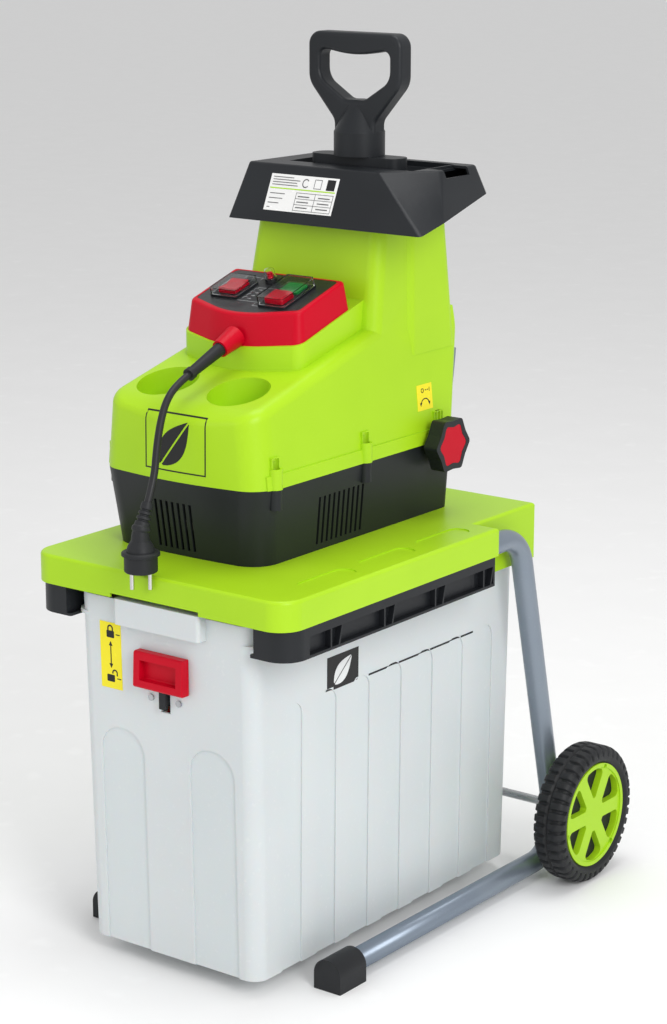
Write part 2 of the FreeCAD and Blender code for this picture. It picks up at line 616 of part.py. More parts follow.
def rail():
    """Right-hand rail: a channel that carries the box rim on its inner ledge."""
    def plan(x0, x1, z0, z1, front=RAIL_FRONT):
        return block(x0, x1, front, RAIL_REAR, z0, z1)

    corner = DECK_CORNER - 1
    outer = prism([(RAIL_LEDGE_INNER, RAIL_REAR, 0), (RAIL_LEDGE_INNER, RAIL_FRONT, 3.0),
                   (RAIL_OUTER, RAIL_FRONT, corner), (RAIL_OUTER, RAIL_REAR, 0)],
                  "z", RAIL_BOTTOM, DECK_EDGE)
    ledge_top = RAIL_BOTTOM + RAIL_LEDGE
    channel = plan(RAIL_LEDGE_INNER - 1, RAIL_INNER_WALL, ledge_top, DECK_EDGE, RAIL_FRONT - 1)
    near_x, far_x = RAIL_INNER_WALL + WALL, RAIL_OUTER - RAIL_WEB_INSET - WALL
    front_y, rear_y = RAIL_FRONT + WALL, RAIL_REAR - WALL
    inside = prism([(near_x, rear_y, 0), (near_x, front_y, 2.0),
                    (far_x, front_y, corner - WALL - RAIL_WEB_INSET), (far_x, rear_y, 0)],
                   "z", ledge_top, DECK_EDGE + 1)
    groove = block(RAIL_OUTER - RAIL_WEB_INSET, RAIL_OUTER + 1, RAIL_FRONT + corner + 8, RAIL_REAR - WALL,
                   RAIL_BOTTOM + RAIL_LEDGE, DECK_EDGE - RAIL_BAND)
    groove = groove.cut(rail_ribs())
    body = outer.cut([channel, inside, groove])
    saddle = rod((TUBE_X, TUBE_FRONT_TOP - 2, TUBE_TOP_Z), (TUBE_X, DECK_REAR, TUBE_TOP_Z), TUBE_R + GAP)
    bosses = [rod((TUBE_X, y, RAIL_BOTTOM), (TUBE_X, y, TUBE_TOP_Z), BOSS_R) for y in FRAME_BOLT_YS]
    holes = [rod((TUBE_X, y, RAIL_BOTTOM - 1), (TUBE_X, y, DECK_TOP), FRAME_BOLT_R + GAP)
             for y in FRAME_BOLT_YS]
    return body.fuse(bosses).cut([saddle] + holes)


def rail_ribs():
    """Pairs of slanting gussets on the outside of the rail."""
    ribs = []
    length = RAIL_REAR - RAIL_FRONT
    z0, z1 = RAIL_BOTTOM, DECK_EDGE
    for i in range(RAIL_RIB_PAIRS):
        y = RAIL_FRONT + length * (i + 0.75) / RAIL_RIB_PAIRS
        for lean in (0.0, 9.0):
            a = y + (RAIL_RIB_SPREAD if lean else 0)
            ribs.append(prism([(a, z0), (a + RAIL_RIB, z0), (a + RAIL_RIB + lean, z1), (a + lean, z1)],
                              "x", RAIL_OUTER - RAIL_WEB_INSET - 1, RAIL_OUTER + 2))
    return ribs


def box_wire(z, inset):
    """Rounded outline of the box at one height."""
    share = (z - BOX_BOTTOM_Z) / (BOX_RIM_Z - BOX_BOTTOM_Z)
    half, front, rear = mix((BOX_BOTTOM_HALF, BOX_FRONT_BOTTOM, BOX_REAR_BOTTOM),
                            (BOX_TOP_HALF, BOX_FRONT_TOP, BOX_REAR_TOP), share)
    half, front, rear, radius = half - inset, front + inset, rear - inset, BOX_CORNER - inset
    return corners_wire([(V(x, y, z), radius)
                         for x, y in ((-half, rear), (-half, front), (half, front), (half, rear))])


def box_body(z0, z1, inset):
    """Solid of the tapering box between two heights."""
    return Part.makeLoft([box_wire(z0, inset), box_wire(z1, inset)], True, True)


def box_front(z):
    """Place of the box's front wall at one height."""
    share = (z - BOX_BOTTOM_Z) / (BOX_RIM_Z - BOX_BOTTOM_Z)
    return BOX_FRONT_BOTTOM + (BOX_FRONT_TOP - BOX_FRONT_BOTTOM) * share


def box_half(z):
    """Half width of the box at one height."""
    share = (z - BOX_BOTTOM_Z) / (BOX_RIM_Z - BOX_BOTTOM_Z)
    return BOX_BOTTOM_HALF + (BOX_TOP_HALF - BOX_BOTTOM_HALF) * share


def collection_box():
    """Box with fluted walls, a rim that hangs on the rails, a front apron and the latch slot."""
    outer = box_body(BOX_BOTTOM_Z, BOX_TOP_Z, 0)
    rim = prism([(-BOX_RIM_HALF, BOX_REAR_TOP, 8), (-BOX_RIM_HALF, BOX_FRONT_TOP, 20),
                 (BOX_RIM_HALF, BOX_FRONT_TOP, 20), (BOX_RIM_HALF, BOX_REAR_TOP, 8)],
                "z", BOX_RIM_Z, BOX_RIM_Z + BOX_RIM_THICK)
    apron = prism([(-APRON_HALF, BOX_FRONT_TOP + BOX_WALL, 0), (-APRON_HALF, APRON_FRONT, 4),
                   (APRON_HALF, APRON_FRONT, 4), (APRON_HALF, BOX_FRONT_TOP + BOX_WALL, 0)],
                  "z", APRON_BOTTOM, APRON_TOP)
    inner = box_body(BOX_BOTTOM_Z + BOX_WALL, APRON_TOP + 5, BOX_WALL)
    cuts = [inner]
    middle = (BOX_FRONT_BOTTOM + BOX_REAR_BOTTOM) / 2
    for side in (-1, 1):
        for i in range(SIDE_FLUTES):
            y = middle + (i - (SIDE_FLUTES - 1) / 2) * FLUTE_PITCH
            cuts.append(flute(y, side))
        cuts.append(front_flute(side * FRONT_FLUTE_X))
    slot_half = STEM_WIDTH / 2 + 2
    cuts.append(block(LATCH_X - slot_half, LATCH_X + slot_half, BOX_FRONT_TOP - 5, BOX_FRONT_TOP + 20,
                      STEM_BOTTOM - 5, STEM_TOP + LATCH_TRAVEL + 1))
    return outer.fuse([rim, apron]).cut(cuts).cut(latch_screw_holes())


def flute(y, side):
    """Shallow upright channel in a side wall, with a rounded top."""
    half = FLUTE_WIDTH / 2
    x = box_half(FLUTE_TOP) - FLUTE_DEPTH
    outline = [(y - half, BOX_BOTTOM_Z - 1, 0), (y - half, FLUTE_TOP, half - 1),
               (y + half, FLUTE_TOP, half - 1), (y + half, BOX_BOTTOM_Z - 1, 0)]
    cut = prism(outline, "x", x, x + 20)
    lean = math.degrees(math.atan((BOX_TOP_HALF - BOX_BOTTOM_HALF) / (BOX_RIM_Z - BOX_BOTTOM_Z)))
    cut.rotate(V(x, y, FLUTE_TOP), V(0, 1, 0), lean)
    return cut if side > 0 else mirror(cut)


def front_flute(x):
    """Wide shallow channel in the front wall, below the latch."""
    half = FLUTE_WIDTH * 0.9
    top = LATCH_BOTTOM - 56
    y = box_front(top) + FLUTE_DEPTH
    outline = [(x - half, BOX_BOTTOM_Z - 1, 0), (x - half, top, half - 2),
               (x + half, top, half - 2), (x + half, BOX_BOTTOM_Z - 1, 0)]
    cut = prism(outline, "y", y - 20, y)
    lean = math.degrees(math.atan((BOX_FRONT_BOTTOM - BOX_FRONT_TOP) / (BOX_RIM_Z - BOX_BOTTOM_Z)))
    cut.rotate(V(x, y, top), V(1, 0, 0), lean)
    return cut


def latch_slider():
    """Red slider: a block with a finger pocket."""
    back = box_front(LATCH_BOTTOM) - LATCH_OFF_WALL
    front = back - LATCH_DEPTH
    edge, floor, lean = 9.0, 3.0, 2.0
    body = prism([(back, LATCH_BOTTOM, 0), (front, LATCH_BOTTOM, 3), (front + lean, LATCH_TOP, 3),
                  (back, LATCH_TOP, 0)], "x", LATCH_X - LATCH_HALF, LATCH_X + LATCH_HALF)
    pocket = prism([(front - 5, LATCH_BOTTOM + edge, 0), (back - floor, LATCH_BOTTOM + edge, 2),
                    (back - floor, LATCH_TOP - edge, 2), (front - 5, LATCH_TOP - edge, 0)],
                   "x", LATCH_X - LATCH_HALF + edge, LATCH_X + LATCH_HALF - edge)
    long_edges = [e for e in body.Edges if e.BoundBox.YMax < back - 1 and e.Length > 30]
    return body.makeFillet(1.2, long_edges).cut(pocket)


def latch_stem():
    """Black stem that runs in the slot of the box, with the hook inside that rises to the deck."""
    back = box_front(LATCH_BOTTOM) - LATCH_OFF_WALL
    inside, end = back + STEM_REACH, back + STEM_REACH + HOOK_THICK
    x0, x1 = LATCH_X - STEM_WIDTH / 2, LATCH_X + STEM_WIDTH / 2
    front_plate = block(x0, x1, back - 4, back, STEM_BOTTOM, LATCH_BOTTOM)
    neck = block(x0, x1, back, end, STEM_BOTTOM + 4, STEM_TOP)
    pad = block(LATCH_X - KEEPER_HALF, LATCH_X + KEEPER_HALF, inside, end, STEM_BOTTOM, STEM_TOP + 4)
    hook = block(x0, x1, inside, end, LATCH_BOTTOM, HOOK_TOP)
    return front_plate.fuse([neck, pad, hook]).removeSplitter()


def latch_keeper():
    """Rib below the deck's top that the raised hook catches behind."""
    rear = box_front(LATCH_BOTTOM) - LATCH_OFF_WALL + STEM_REACH - KEEPER_GAP
    return block(LATCH_X - KEEPER_HALF, LATCH_X + KEEPER_HALF, rear - KEEPER_THICK, rear,
                 DECK_EDGE + 1, DECK_TOP - DECK_WALL)


def latch_screw_places():
    """Where the two small screws beside the stem go through the wall."""
    y = box_front(LATCH_SCREW_Z)
    return [(LATCH_X + side * LATCH_SCREW_SPREAD, y, LATCH_SCREW_Z) for side in (-1, 1)]


def latch_screws():
    """Two small screws that hold the latch guide."""
    screws = []
    for x, y, z in latch_screw_places():
        head = rod((x, y - 2, z), (x, y - 0.2, z), LATCH_SCREW_HEAD_R)
        screws.append(head.fuse(rod((x, y - 0.2, z), (x, y + BOX_WALL, z), LATCH_SCREW_R)))
    return screws


def latch_screw_holes():
    """Slightly tapered pilot holes of the latch screws."""
    return [cone((x, y - 1.3, z), (x, y + BOX_WALL + 1, z), LATCH_SCREW_R + 0.1, LATCH_SCREW_R + 0.06)
            for x, y, z in latch_screw_places()]


def latch_label():
    """Sticker beside the latch, on the sloping front wall."""
    z0, z1 = LATCH_LABEL_Z0, LATCH_LABEL_Z1
    y0, y1 = box_front(z0), box_front(z1)
    return prism([(y0, z0), (y1, z1), (y1 - LABEL_THICK, z1), (y0 - LABEL_THICK, z0)], "x",
                 LATCH_LABEL_X0, LATCH_LABEL_X1)


def build_deck():
    """Deck, rails and the box with its latch."""
    right_rail = rail()
    save("deck_cover", deck_cover())
    save("rail_right", right_rail)
    save("rail_left", mirror(right_rail))
    save("collection_box", collection_box())
    save("latch_slider", latch_slider())
    save("latch_stem", latch_stem())
    save("latch_screws", Part.Compound(latch_screws()))
    save("latch_label", latch_label())


# ======================================================================= housings
def vents():
    """Slots in the front and in the right side of the lower housing."""
    cuts = []
    for i in range(FRONT_VENTS):
        x = FRONT_VENT_X + (i - (FRONT_VENTS - 1) / 2) * FRONT_VENT_PITCH
        cuts.append(block(x - VENT_SLOT / 2, x + VENT_SLOT / 2, NOSE_FRONT - 10, PARTING_SECTION[2] + 22,
                          VENT_Z0, VENT_Z1))
    for i in range(SIDE_VENTS):
        y = SIDE_VENT_Y + i * SIDE_VENT_PITCH
        cuts.append(block(BASE_SECTION[1] - 12, PARTING_SECTION[1] + 10,
                          y - VENT_SLOT / 2, y + VENT_SLOT / 2, VENT_Z0, VENT_Z1))
    return cuts


def screw_places():
    """Middle line of each housing screw, on both sides of the housing."""
    places = []
    for y in SCREW_BOSS_YS:
        places.append((PARTING_SECTION[1] - SCREW_BOSS_IN, y))
        places.append((PARTING_SECTION[0] + SCREW_BOSS_IN, y))
    return places


def lower_housing():
    """Black tub with a floor on the deck, vents, and half of the screw bosses."""
    outer = lower_body(DECK_TOP, PARTING_Z)
    inner = lower_body(DECK_TOP + WALL, PARTING_Z + 2, WALL)
    bosses = [rod((x, y, PARTING_Z - 22), (x, y, PARTING_Z), SCREW_BOSS_R - 1) for x, y in screw_places()]
    holes = [rod((x, y, PARTING_Z - 18), (x, y, PARTING_Z + 1), SCREW_R) for x, y in screw_places()]
    chute = block(CUTTER_X0 - GAP, CUTTER_X1 + GAP, CUTTER_Y0 - GAP, CUTTER_Y1 + GAP,
                  DECK_TOP - 1, DECK_TOP + WALL + 1)
    screw = rod((0, KNOB_Y, KNOB_Z), (KNOB_X1, KNOB_Y, KNOB_Z), SCREW_THREAD_R + 3)
    body = outer.cut([inner] + vents()).fuse(bosses)
    return body.cut(holes + [chute, screw])


def upper_housing():
    """Green shell: nose with two hand pockets, pedestal of the controls, and the hopper neck."""
    outer = nose_rounded(crown_body(PARTING_Z, CROWN_Z).common(side_profile()), NOSE_EDGE_ROUND)
    inner = crown_body(PARTING_Z - 2, CROWN_Z, WALL).common(side_profile(WALL))
    inner = nose_rounded(inner, NOSE_EDGE_ROUND - WALL)
    pedestal = bezel_solid(2.0, BEZEL_FOOT_Z - 40, 2.0, BEZEL_FOOT_Z, rear=20.0)
    pedestal_hollow = bezel_solid(-1.0, BEZEL_FOOT_Z - 60, -1.0, BEZEL_FOOT_Z - WALL, rear=20.0)
    band = flange_band()
    neck = neck_body(NECK_FOOT_Z, NECK_TOP_Z)
    neck_hollow = neck_body(NECK_FOOT_Z, NECK_TOP_Z + 5, WALL)
    bosses = [rod((x, y, PARTING_Z), (x, y, PARTING_Z + 22), SCREW_BOSS_R) for x, y in screw_places()]
    pockets = []
    cups = []
    for x in POCKET_XS:
        pockets.append(rod((x, POCKET_Y, POCKET_FLOOR), (x, POCKET_Y, CROWN_Z), POCKET_R))
        cups.append(rod((x, POCKET_Y, POCKET_FLOOR - WALL), (x, POCKET_Y, CROWN_Z), POCKET_R + WALL))
    hollow = inner.fuse([pedestal_hollow, neck_hollow]).cut(cups)
    body = outer.fuse([pedestal, neck, band]).cut(hollow).cut(pockets)
    screw_holes = []
    for x, y in screw_places():
        screw_holes.append(rod((x, y, PARTING_Z - 1), (x, y, PARTING_Z + 30), SCREW_R + 0.2))
        screw_holes.append(rod((x, y, PARTING_Z + 16), (x, y, PARTING_Z + 30), SCREW_R + 2.6))
    knob_hole = rod((0, KNOB_Y, KNOB_Z), (KNOB_X1, KNOB_Y, KNOB_Z), SCREW_THREAD_R + 3)
    under = [panel_frame_body(p, s, -40, -PANEL_THICK, 3.0)
             for p, s in ((DIRECTION_XY, DIRECTION_SIZE), (POWER_XY, POWER_SIZE))]
    under.append(panel_rod(BREAKER_XY, BREAKER_R + 2, -45, 0))
    return body.fuse(bosses).cut(screw_holes + [knob_hole] + under)


def nose_rounded(shape, radius):
    """The nose with the edges around its sloping top rounded."""
    rims = []
    for edge in shape.Edges:
        box = edge.BoundBox
        sloping = box.YLength > 0.5 and edge.Length > WALL
        if sloping and box.ZMin > PARTING_Z + 30 and box.YMax < NECK_STEP_Y - GAP:
            rims.append(edge)
    return shape.makeFillet(radius, rims)


def flange_band():
    """Raised band above the parting line, left off the bowed front."""
    band = crown_body(PARTING_Z, PARTING_Z + BAND_HEIGHT, -BAND_PROUD)
    return band.cut(block(-200, 200, NOSE_FRONT - 20, PARTING_SECTION[2] + 14, 0, CROWN_Z))


def housing_screws():
    """Screws down through the green bosses into the black ones."""
    screws = []
    for x, y in screw_places():
        head = rod((x, y, PARTING_Z + 16), (x, y, PARTING_Z + 20), SCREW_R + 2)
        screws.append(head.fuse(rod((x, y, PARTING_Z - 16), (x, y, PARTING_Z + 16), SCREW_R)))
    return screws


def rear_plate():
    """Sheet steel strip up the right rear edge of the housing, behind the knob."""
    z0, z1 = PARTING_Z - PLATE_STRIP_BELOW, NECK_FOOT_Z - 5
    x1 = PARTING_SECTION[1] - PLATE_STRIP_INSET
    skin = lower_body(z0, PARTING_Z, -PLATE_STRIP_THICK).fuse(crown_body(PARTING_Z, z1, -PLATE_STRIP_THICK))
    reach = block(x1 - PLATE_STRIP_WIDTH, x1, PARTING_SECTION[3] - 20, NECK_FOOT[3] + 20, z0, z1)
    strip = skin.common(reach)
    return strip.cut([crown_body(PARTING_Z, CROWN_Z), lower_body(DECK_TOP, PARTING_Z), flange_band()])


def side_label():
    """Sticker above the knob with the turning direction."""
    y0, z0 = KNOB_Y - 27.5, KNOB_Z + 39.0
    patch = block(0, PARTING_SECTION[1] + 5, y0, y0 + 29.0, z0, z0 + 29.0)
    return crown_body(PARTING_Z, CROWN_Z, -LABEL_THICK).cut(crown_body(PARTING_Z, CROWN_Z)).common(patch)


def build_housing():
    """Lower and upper housing with what is fixed to their outside."""
    save("lower_housing", lower_housing())
    save("upper_housing", upper_housing())
    save("housing_screws", Part.Compound(housing_screws()))
    save("rear_plate", rear_plate())
    save("side_label", side_label())


# ======================================================================= hopper and plunger
def rim_point(points, z_of, inset):
    """Corner points of a rim outline, pushed inwards by the inset."""
    cx = sum(p[0] for p in points) / len(points)
    cy = sum(p[1] for p in points) / len(points)
    moved = []
    for x, y in points:
        moved.append(V(x - math.copysign(inset, x - cx), y - math.copysign(inset, y - cy), z_of(y)))
    return moved


def rim_solid(inset, low, high):
    """Sloping skirt of the hopper as a solid; low and high move its two ends up and down."""
    def bottom_z(y):
        share = (y - RIM_BOTTOM[0][1]) / (RIM_BOTTOM[2][1] - RIM_BOTTOM[0][1])
        return RIM_BOTTOM_Z + low + RIM_RISE * share

    front_left, front_right, rear_right, rear_left = RIM_BOTTOM
    near_corner = mix(front_right, rear_right, 0.3)
    near_corner = (near_corner[0] + RIM_SIDE_BOW, near_corner[1])
    bottom = rim_point((front_left, front_right, near_corner, rear_right, rear_left), bottom_z, inset)
    top = rim_point(RIM_TOP, lambda y: RIM_TOP_Z + high, inset)
    radii = (4.0, 5.0, 12.0, 8.0, 5.0)
    wires = [corners_wire(list(zip(points, radii))) for points in (bottom, top)]
    return Part.makeLoft(wires, True, True)


def hopper_rim():
    """Black skirt around the neck's top, with the mouth plate and a web that rests on the neck."""
    outer = rim_solid(0, 0, 0)
    top_face = [f for f in outer.Faces if f.BoundBox.ZMin > RIM_TOP_Z - 0.01][0]
    outer = outer.makeFillet(RIM_ROUND, top_face.Edges)
    skirt = outer.cut(rim_solid(WALL, -1, 1))
    top = outer.common(block(-200, 200, -100, 200, RIM_TOP_Z - RIM_PLATE, RIM_TOP_Z + 1))
    web = outer.common(block(-200, 200, -100, 200, NECK_TOP_Z, NECK_TOP_Z + RIM_PLATE))
    mouth = block(*MOUTH, RIM_TOP_Z - RIM_PLATE - 1, RIM_TOP_Z + 1)
    share = (NECK_TOP_Z + RIM_PLATE - THROAT_Z) / (RIM_TOP_Z - RIM_PLATE - THROAT_Z)
    passage = block(*grown(mix(THROAT, MOUTH, share), WALL + 2), NECK_TOP_Z - 1, NECK_TOP_Z + RIM_PLATE + 1)
    notch = block(MOUTH[1] + 2, RIM_BOTTOM[1][0], RIM_NOTCH_Y0, RIM_NOTCH_Y1,
                  RIM_TOP_Z - RIM_NOTCH_DEPTH, RIM_TOP_Z + 2)
    return skirt.fuse([top.cut(mouth), web.cut(passage)]).cut(notch)


def rectangle_wire(section, z, radius):
    """Rounded rectangle at one height."""
    x0, x1, y0, y1 = section
    return corners_wire([(V(x, y, z), radius) for x, y in ((x0, y1), (x0, y0), (x1, y0), (x1, y1))])


def grown(section, by):
    """Section with every side moved outwards."""
    x0, x1, y0, y1 = section
    return (x0 - by, x1 + by, y0 - by, y1 + by)


def feed_chute():
    """Funnel under the mouth, and the shaft from it down onto the cutter housing."""
    top_z = RIM_TOP_Z - RIM_PLATE
    foot = (CUTTER_X0 + 1, CUTTER_X1 - 6, CUTTER_Y0 + 4, CUTTER_Y1 - 1)
    flange = block(*grown(MOUTH, CHUTE_FLANGE), top_z - WALL, top_z).common(rim_solid(WALL + GAP, 0, 0))

    def funnel(by, z0, z1, z2):
        head = Part.makeLoft([rectangle_wire(grown(THROAT, by), z1, 6 + by),
                              rectangle_wire(grown(MOUTH, by), z2, 6 + by)], True, True)
        shaft = Part.makeLoft([rectangle_wire(grown(foot, by - WALL), z0, 6 + by),
                               rectangle_wire(grown(THROAT, by), z1, 6 + by)], True, True)
        return head.fuse(shaft)

    outer = funnel(WALL, CUTTER_Z1, THROAT_Z, top_z - WALL + 0.5)
    return flange.fuse(outer).cut([funnel(0, CUTTER_Z1, THROAT_Z, top_z),
                                   block(*MOUTH, top_z - WALL, top_z + 1)])


def plunger_flange_half():
    """Half length of the plunger's cross bar, so that its ends sit on the funnel's slopes."""
    top_z = RIM_TOP_Z - RIM_PLATE
    share = (PLUNGER_FLANGE_Z0 - THROAT_Z) / (top_z - THROAT_Z)
    return THROAT[1] + (MOUTH[1] - THROAT[1]) * share - 2 * GAP - abs(PLUNGER_X)


def plunger_handle():
    """D-shaped handle with rounded bars, on a cone and a round collar."""
    x, y = PLUNGER_X, PLUNGER_Y
    y0, y1 = y - GRIP_THICK / 2, y + GRIP_THICK / 2
    foot = COLLAR_TOP - 6
    outer = []
    inner = []
    for side in (-1, 1):
        flank = [(x + side * GRIP_STEM_HALF, foot, 0), (x + side * GRIP_STEM_HALF, GRIP_STEM_Z, 14),
                 (x + side * GRIP_HALF, GRIP_SHOULDER_Z, 26), (x + side * GRIP_HALF, PLUNGER_TOP, 15)]
        opening = [(x + side * 13, WINDOW_BOTTOM, 15), (x + side * WINDOW_HALF, WINDOW_BOTTOM + 22, 20),
                   (x + side * WINDOW_HALF, WINDOW_TOP, 8)]
        outer += flank if side < 0 else flank[::-1]
        inner += opening if side < 0 else [(x, WINDOW_TOP - 8, 150)] + opening[::-1]
    grip = prism(outer, "y", y0, y1).cut(prism(inner, "y", y0 - 1, y1 + 1))
    rims = [e for e in grip.Edges if e.BoundBox.YLength < GRIP_EDGE_R and e.BoundBox.ZMin > foot + 1]
    grip = grip.makeFillet(GRIP_EDGE_R, rims)
    collar = rod((x, y, PLUNGER_FLANGE_Z1), (x, y, COLLAR_TOP), COLLAR_R)
    neck = cone((x, y, COLLAR_TOP), (x, y, CONE_TOP), COLLAR_R, 7.0)
    window = prism(inner, "y", y0 - COLLAR_R, y1 + COLLAR_R)
    return grip.fuse([collar, neck.cut(window)])


def plunger_paddle():
    """Cross bar that sits in the funnel and the flat paddle below it."""
    half = plunger_flange_half()
    x, y = PLUNGER_X, PLUNGER_Y
    bar = prism([(x - half, y - PLUNGER_FLANGE_Y, 14), (x + half, y - PLUNGER_FLANGE_Y, 14),
                 (x + half, y + PLUNGER_FLANGE_Y, 14), (x - half, y + PLUNGER_FLANGE_Y, 14)],
                "z", PLUNGER_FLANGE_Z0, PLUNGER_FLANGE_Z1)
    paddle = block(x - PADDLE_HALF_X, x + PADDLE_HALF_X, y - PADDLE_HALF_Y, y + PADDLE_HALF_Y,
                   PADDLE_BOTTOM, PLUNGER_FLANGE_Z0 + 1)
    return bar.fuse(paddle).removeSplitter()


def rating_label():
    """Sticker on the rim's front slope."""
    low, high = (RIM_BOTTOM[0][1], RIM_BOTTOM_Z), (RIM_TOP[0][1], RIM_TOP_Z)
    a, b = mix(low, high, 0.2), mix(low, high, 0.83)
    return prism([a, b, (b[0] - LABEL_THICK, b[1]), (a[0] - LABEL_THICK, a[1])], "x",
                 RATING_LABEL_X0, RATING_LABEL_X1)


def build_hopper():
    """Hopper rim, feed chute and plunger."""
    save("hopper_rim", hopper_rim())
    save("feed_chute", feed_chute())
    save("plunger_handle", plunger_handle())
    save("plunger_paddle", plunger_paddle())
    save("rating_label", rating_label())


# ======================================================================= control unit
def panel_placement(xy):
    """Local frame on the panel's top face: X across, Y up the slope, Z out of the panel."""
    x, y = xy
    top = panel_height(y, BEZEL_TOP_Z)
    turn = FreeCAD.Rotation(V(1, 0, 0), math.degrees(math.atan(PANEL_SLOPE)))
    return FreeCAD.Placement(V(x, y, top), turn)


def on_panel(shape, xy):
    """Shape drawn in the panel's local frame, set in its place."""
    placed = shape.copy()
    placed.Placement = panel_placement(xy).multiply(placed.Placement)
    return placed


def panel_frame_body(xy, size, z0, z1, grow=0.0):
    """Rounded block on the panel, used for switch bodies and their openings."""
    a, b = size[0] / 2 + grow, size[1] / 2 + grow
    shape = prism([(-a, -b, 3), (a, -b, 3), (a, b, 3), (-a, b, 3)], "z", z0, z1)
    return on_panel(shape, xy)


def panel_rod(xy, radius, z0, z1):
    """Round bar square to the panel."""
    return on_panel(rod((0, 0, z0), (0, 0, z1), radius), xy)


def control_bezel():
    """Red frame on the pedestal with a pocket for the black panel and the cord's boss."""
    body = bezel_solid(0, BEZEL_FOOT_Z, -BEZEL_TAPER, BEZEL_TOP_Z)
    top = [f for f in body.Faces if f.normalAt(0, 0).z > 0.9][0]
    body = body.makeFillet(BEZEL_ROUND, top.Edges)
    pocket = bezel_solid(-BEZEL_LIP, BEZEL_TOP_Z - PANEL_THICK * 1.1, -BEZEL_LIP, BEZEL_TOP_Z + 5)
    well = bezel_solid(-BEZEL_LIP - 5, BEZEL_FOOT_Z - 5, -BEZEL_LIP - 5, BEZEL_TOP_Z)
    root, end = V(*RELIEF_ROOT), V(*CORD_ROUTE[0])
    outwards = (end - root).normalize()
    boss = cone(tuple(root - outwards * 24), tuple(root + outwards * RELIEF_SEAT),
                RELIEF_R0 + 5, RELIEF_R0 + 2.2)
    seat = rod(RELIEF_ROOT, CORD_ROUTE[0], RELIEF_R0 + 0.05)
    pedestal = bezel_solid(2.0, BEZEL_FOOT_Z - 40, 2.0, BEZEL_FOOT_Z)
    return body.cut([pocket, well]).fuse(boss).cut([seat, pedestal])


def control_panel():
    """Black panel with openings for the switches and the overload reset."""
    t = PANEL_THICK * 1.1
    plate = bezel_solid(-BEZEL_LIP - GAP, BEZEL_TOP_Z - t, -BEZEL_LIP - GAP, BEZEL_TOP_Z - GAP)
    holes = [panel_frame_body(DIRECTION_XY, DIRECTION_SIZE, -10, 5, -SWITCH_FRAME + GAP),
             panel_frame_body(POWER_XY, POWER_SIZE, -10, 5, -SWITCH_FRAME + GAP),
             panel_rod(BREAKER_XY, BREAKER_R - 2 + GAP, -10, 5)]
    return plate.cut(holes)


def switch_base(xy, size, wells):
    """Black switch: a flange on the panel, a body below it, wells for what is pressed."""
    flange = panel_frame_body(xy, size, 0, SWITCH_FLANGE)
    body = panel_frame_body(xy, size, -SWITCH_BODY_DEPTH, 1, -SWITCH_FRAME)
    shape = flange.fuse(body)
    for centre, half in wells:
        shape = shape.cut(panel_well(xy, centre, half, -SWITCH_BODY_DEPTH + 6, 4, 0))
    return shape


def panel_well(xy, centre, half, z0, z1, grow):
    """Square block at an offset on a switch."""
    (u, v), (a, b) = centre, half
    shape = block(u - a - grow, u + a + grow, v - b - grow, v + b + grow, z0, z1)
    return on_panel(shape, xy)


DIRECTION_WELL = ((0.0, 0.0), (12.0, 14.0))
STOP_WELL = ((0.0, -13.0), (12.5, 11.0))
START_WELL = ((0.0, 13.0), (12.5, 11.0))


def direction_rocker():
    """Rocker with a shallow valley, on a pin across the switch."""
    (u, v), (a, b) = DIRECTION_WELL
    a, b = a - GAP, b - 1.2
    profile = [(v - b, 0.5), (v - b, 6.8), (v, 4.6), (v + b, 6.8), (v + b, 0.5),
               (v + 4, -5.0), (v - 4, -5.0)]
    return on_panel(prism(profile, "x", u - a, u + a), DIRECTION_XY)


def push_button(well, height, dome):
    """Square push button with a rim below that keeps it in its well."""
    (u, v), (a, b) = well
    a, b = a - GAP, b - GAP
    outline = [(u - a, v - b, 2), (u + a, v - b, 2), (u + a, v + b, 2), (u - a, v + b, 2)]
    cap = prism(outline, "z", -6, height)
    if dome:
        cap = cap.makeChamfer(1.5, [e for e in cap.Edges if e.BoundBox.ZMin > height - 0.01])
    return on_panel(cap, POWER_XY)


def cover_shell(xy, size, height, base):
    """Clear cap, open below."""
    outer = panel_frame_body(xy, size, base, height, -0.5)
    inner = panel_frame_body(xy, size, base - 1, height - COVER_WALL, -0.5 - COVER_WALL)
    return outer.cut(inner)


def build_controls():
    """Bezel, panel, switches, overload reset and their clear covers."""
    save("control_bezel", control_bezel())
    save("control_panel", control_panel())
    save("direction_switch", switch_base(DIRECTION_XY, DIRECTION_SIZE, [DIRECTION_WELL]))
    save("direction_rocker", direction_rocker())
    save("direction_cover",
         cover_shell(DIRECTION_XY, DIRECTION_SIZE, DIRECTION_COVER_HEIGHT, SWITCH_FLANGE))
    save("power_switch", switch_base(POWER_XY, POWER_SIZE, [STOP_WELL, START_WELL]))
    save("stop_button", push_button(STOP_WELL, STOP_HEIGHT, True))
    save("start_button", push_button(START_WELL, START_HEIGHT, False))
    save("power_cover", cover_shell(POWER_XY, POWER_SIZE, POWER_COVER_HEIGHT, SWITCH_FLANGE + GAP))
    body = panel_rod(BREAKER_XY, BREAKER_R - 2, -16, 1).fuse(panel_rod(BREAKER_XY, BREAKER_R, 0, 5))
    save("breaker_body", body.cut(panel_rod(BREAKER_XY, 3.6, -12, 6)))
    save("breaker_button", panel_rod(BREAKER_XY, 3.3, -6, 11))


# ======================================================================= mains cord and plug
def strain_relief():
    """Rubber sleeve, tapered towards the cord, out of the bezel's front."""
    end = CORD_ROUTE[0]
    sleeve = cone(RELIEF_ROOT, end, RELIEF_R0, RELIEF_R1)
    back = (V(*RELIEF_ROOT) - V(*end)).normalize() * RELIEF_COLLAR
    collar = rod(end, tuple(V(*end) + back), RELIEF_R1 + 1.4)
    return sleeve.fuse(collar)


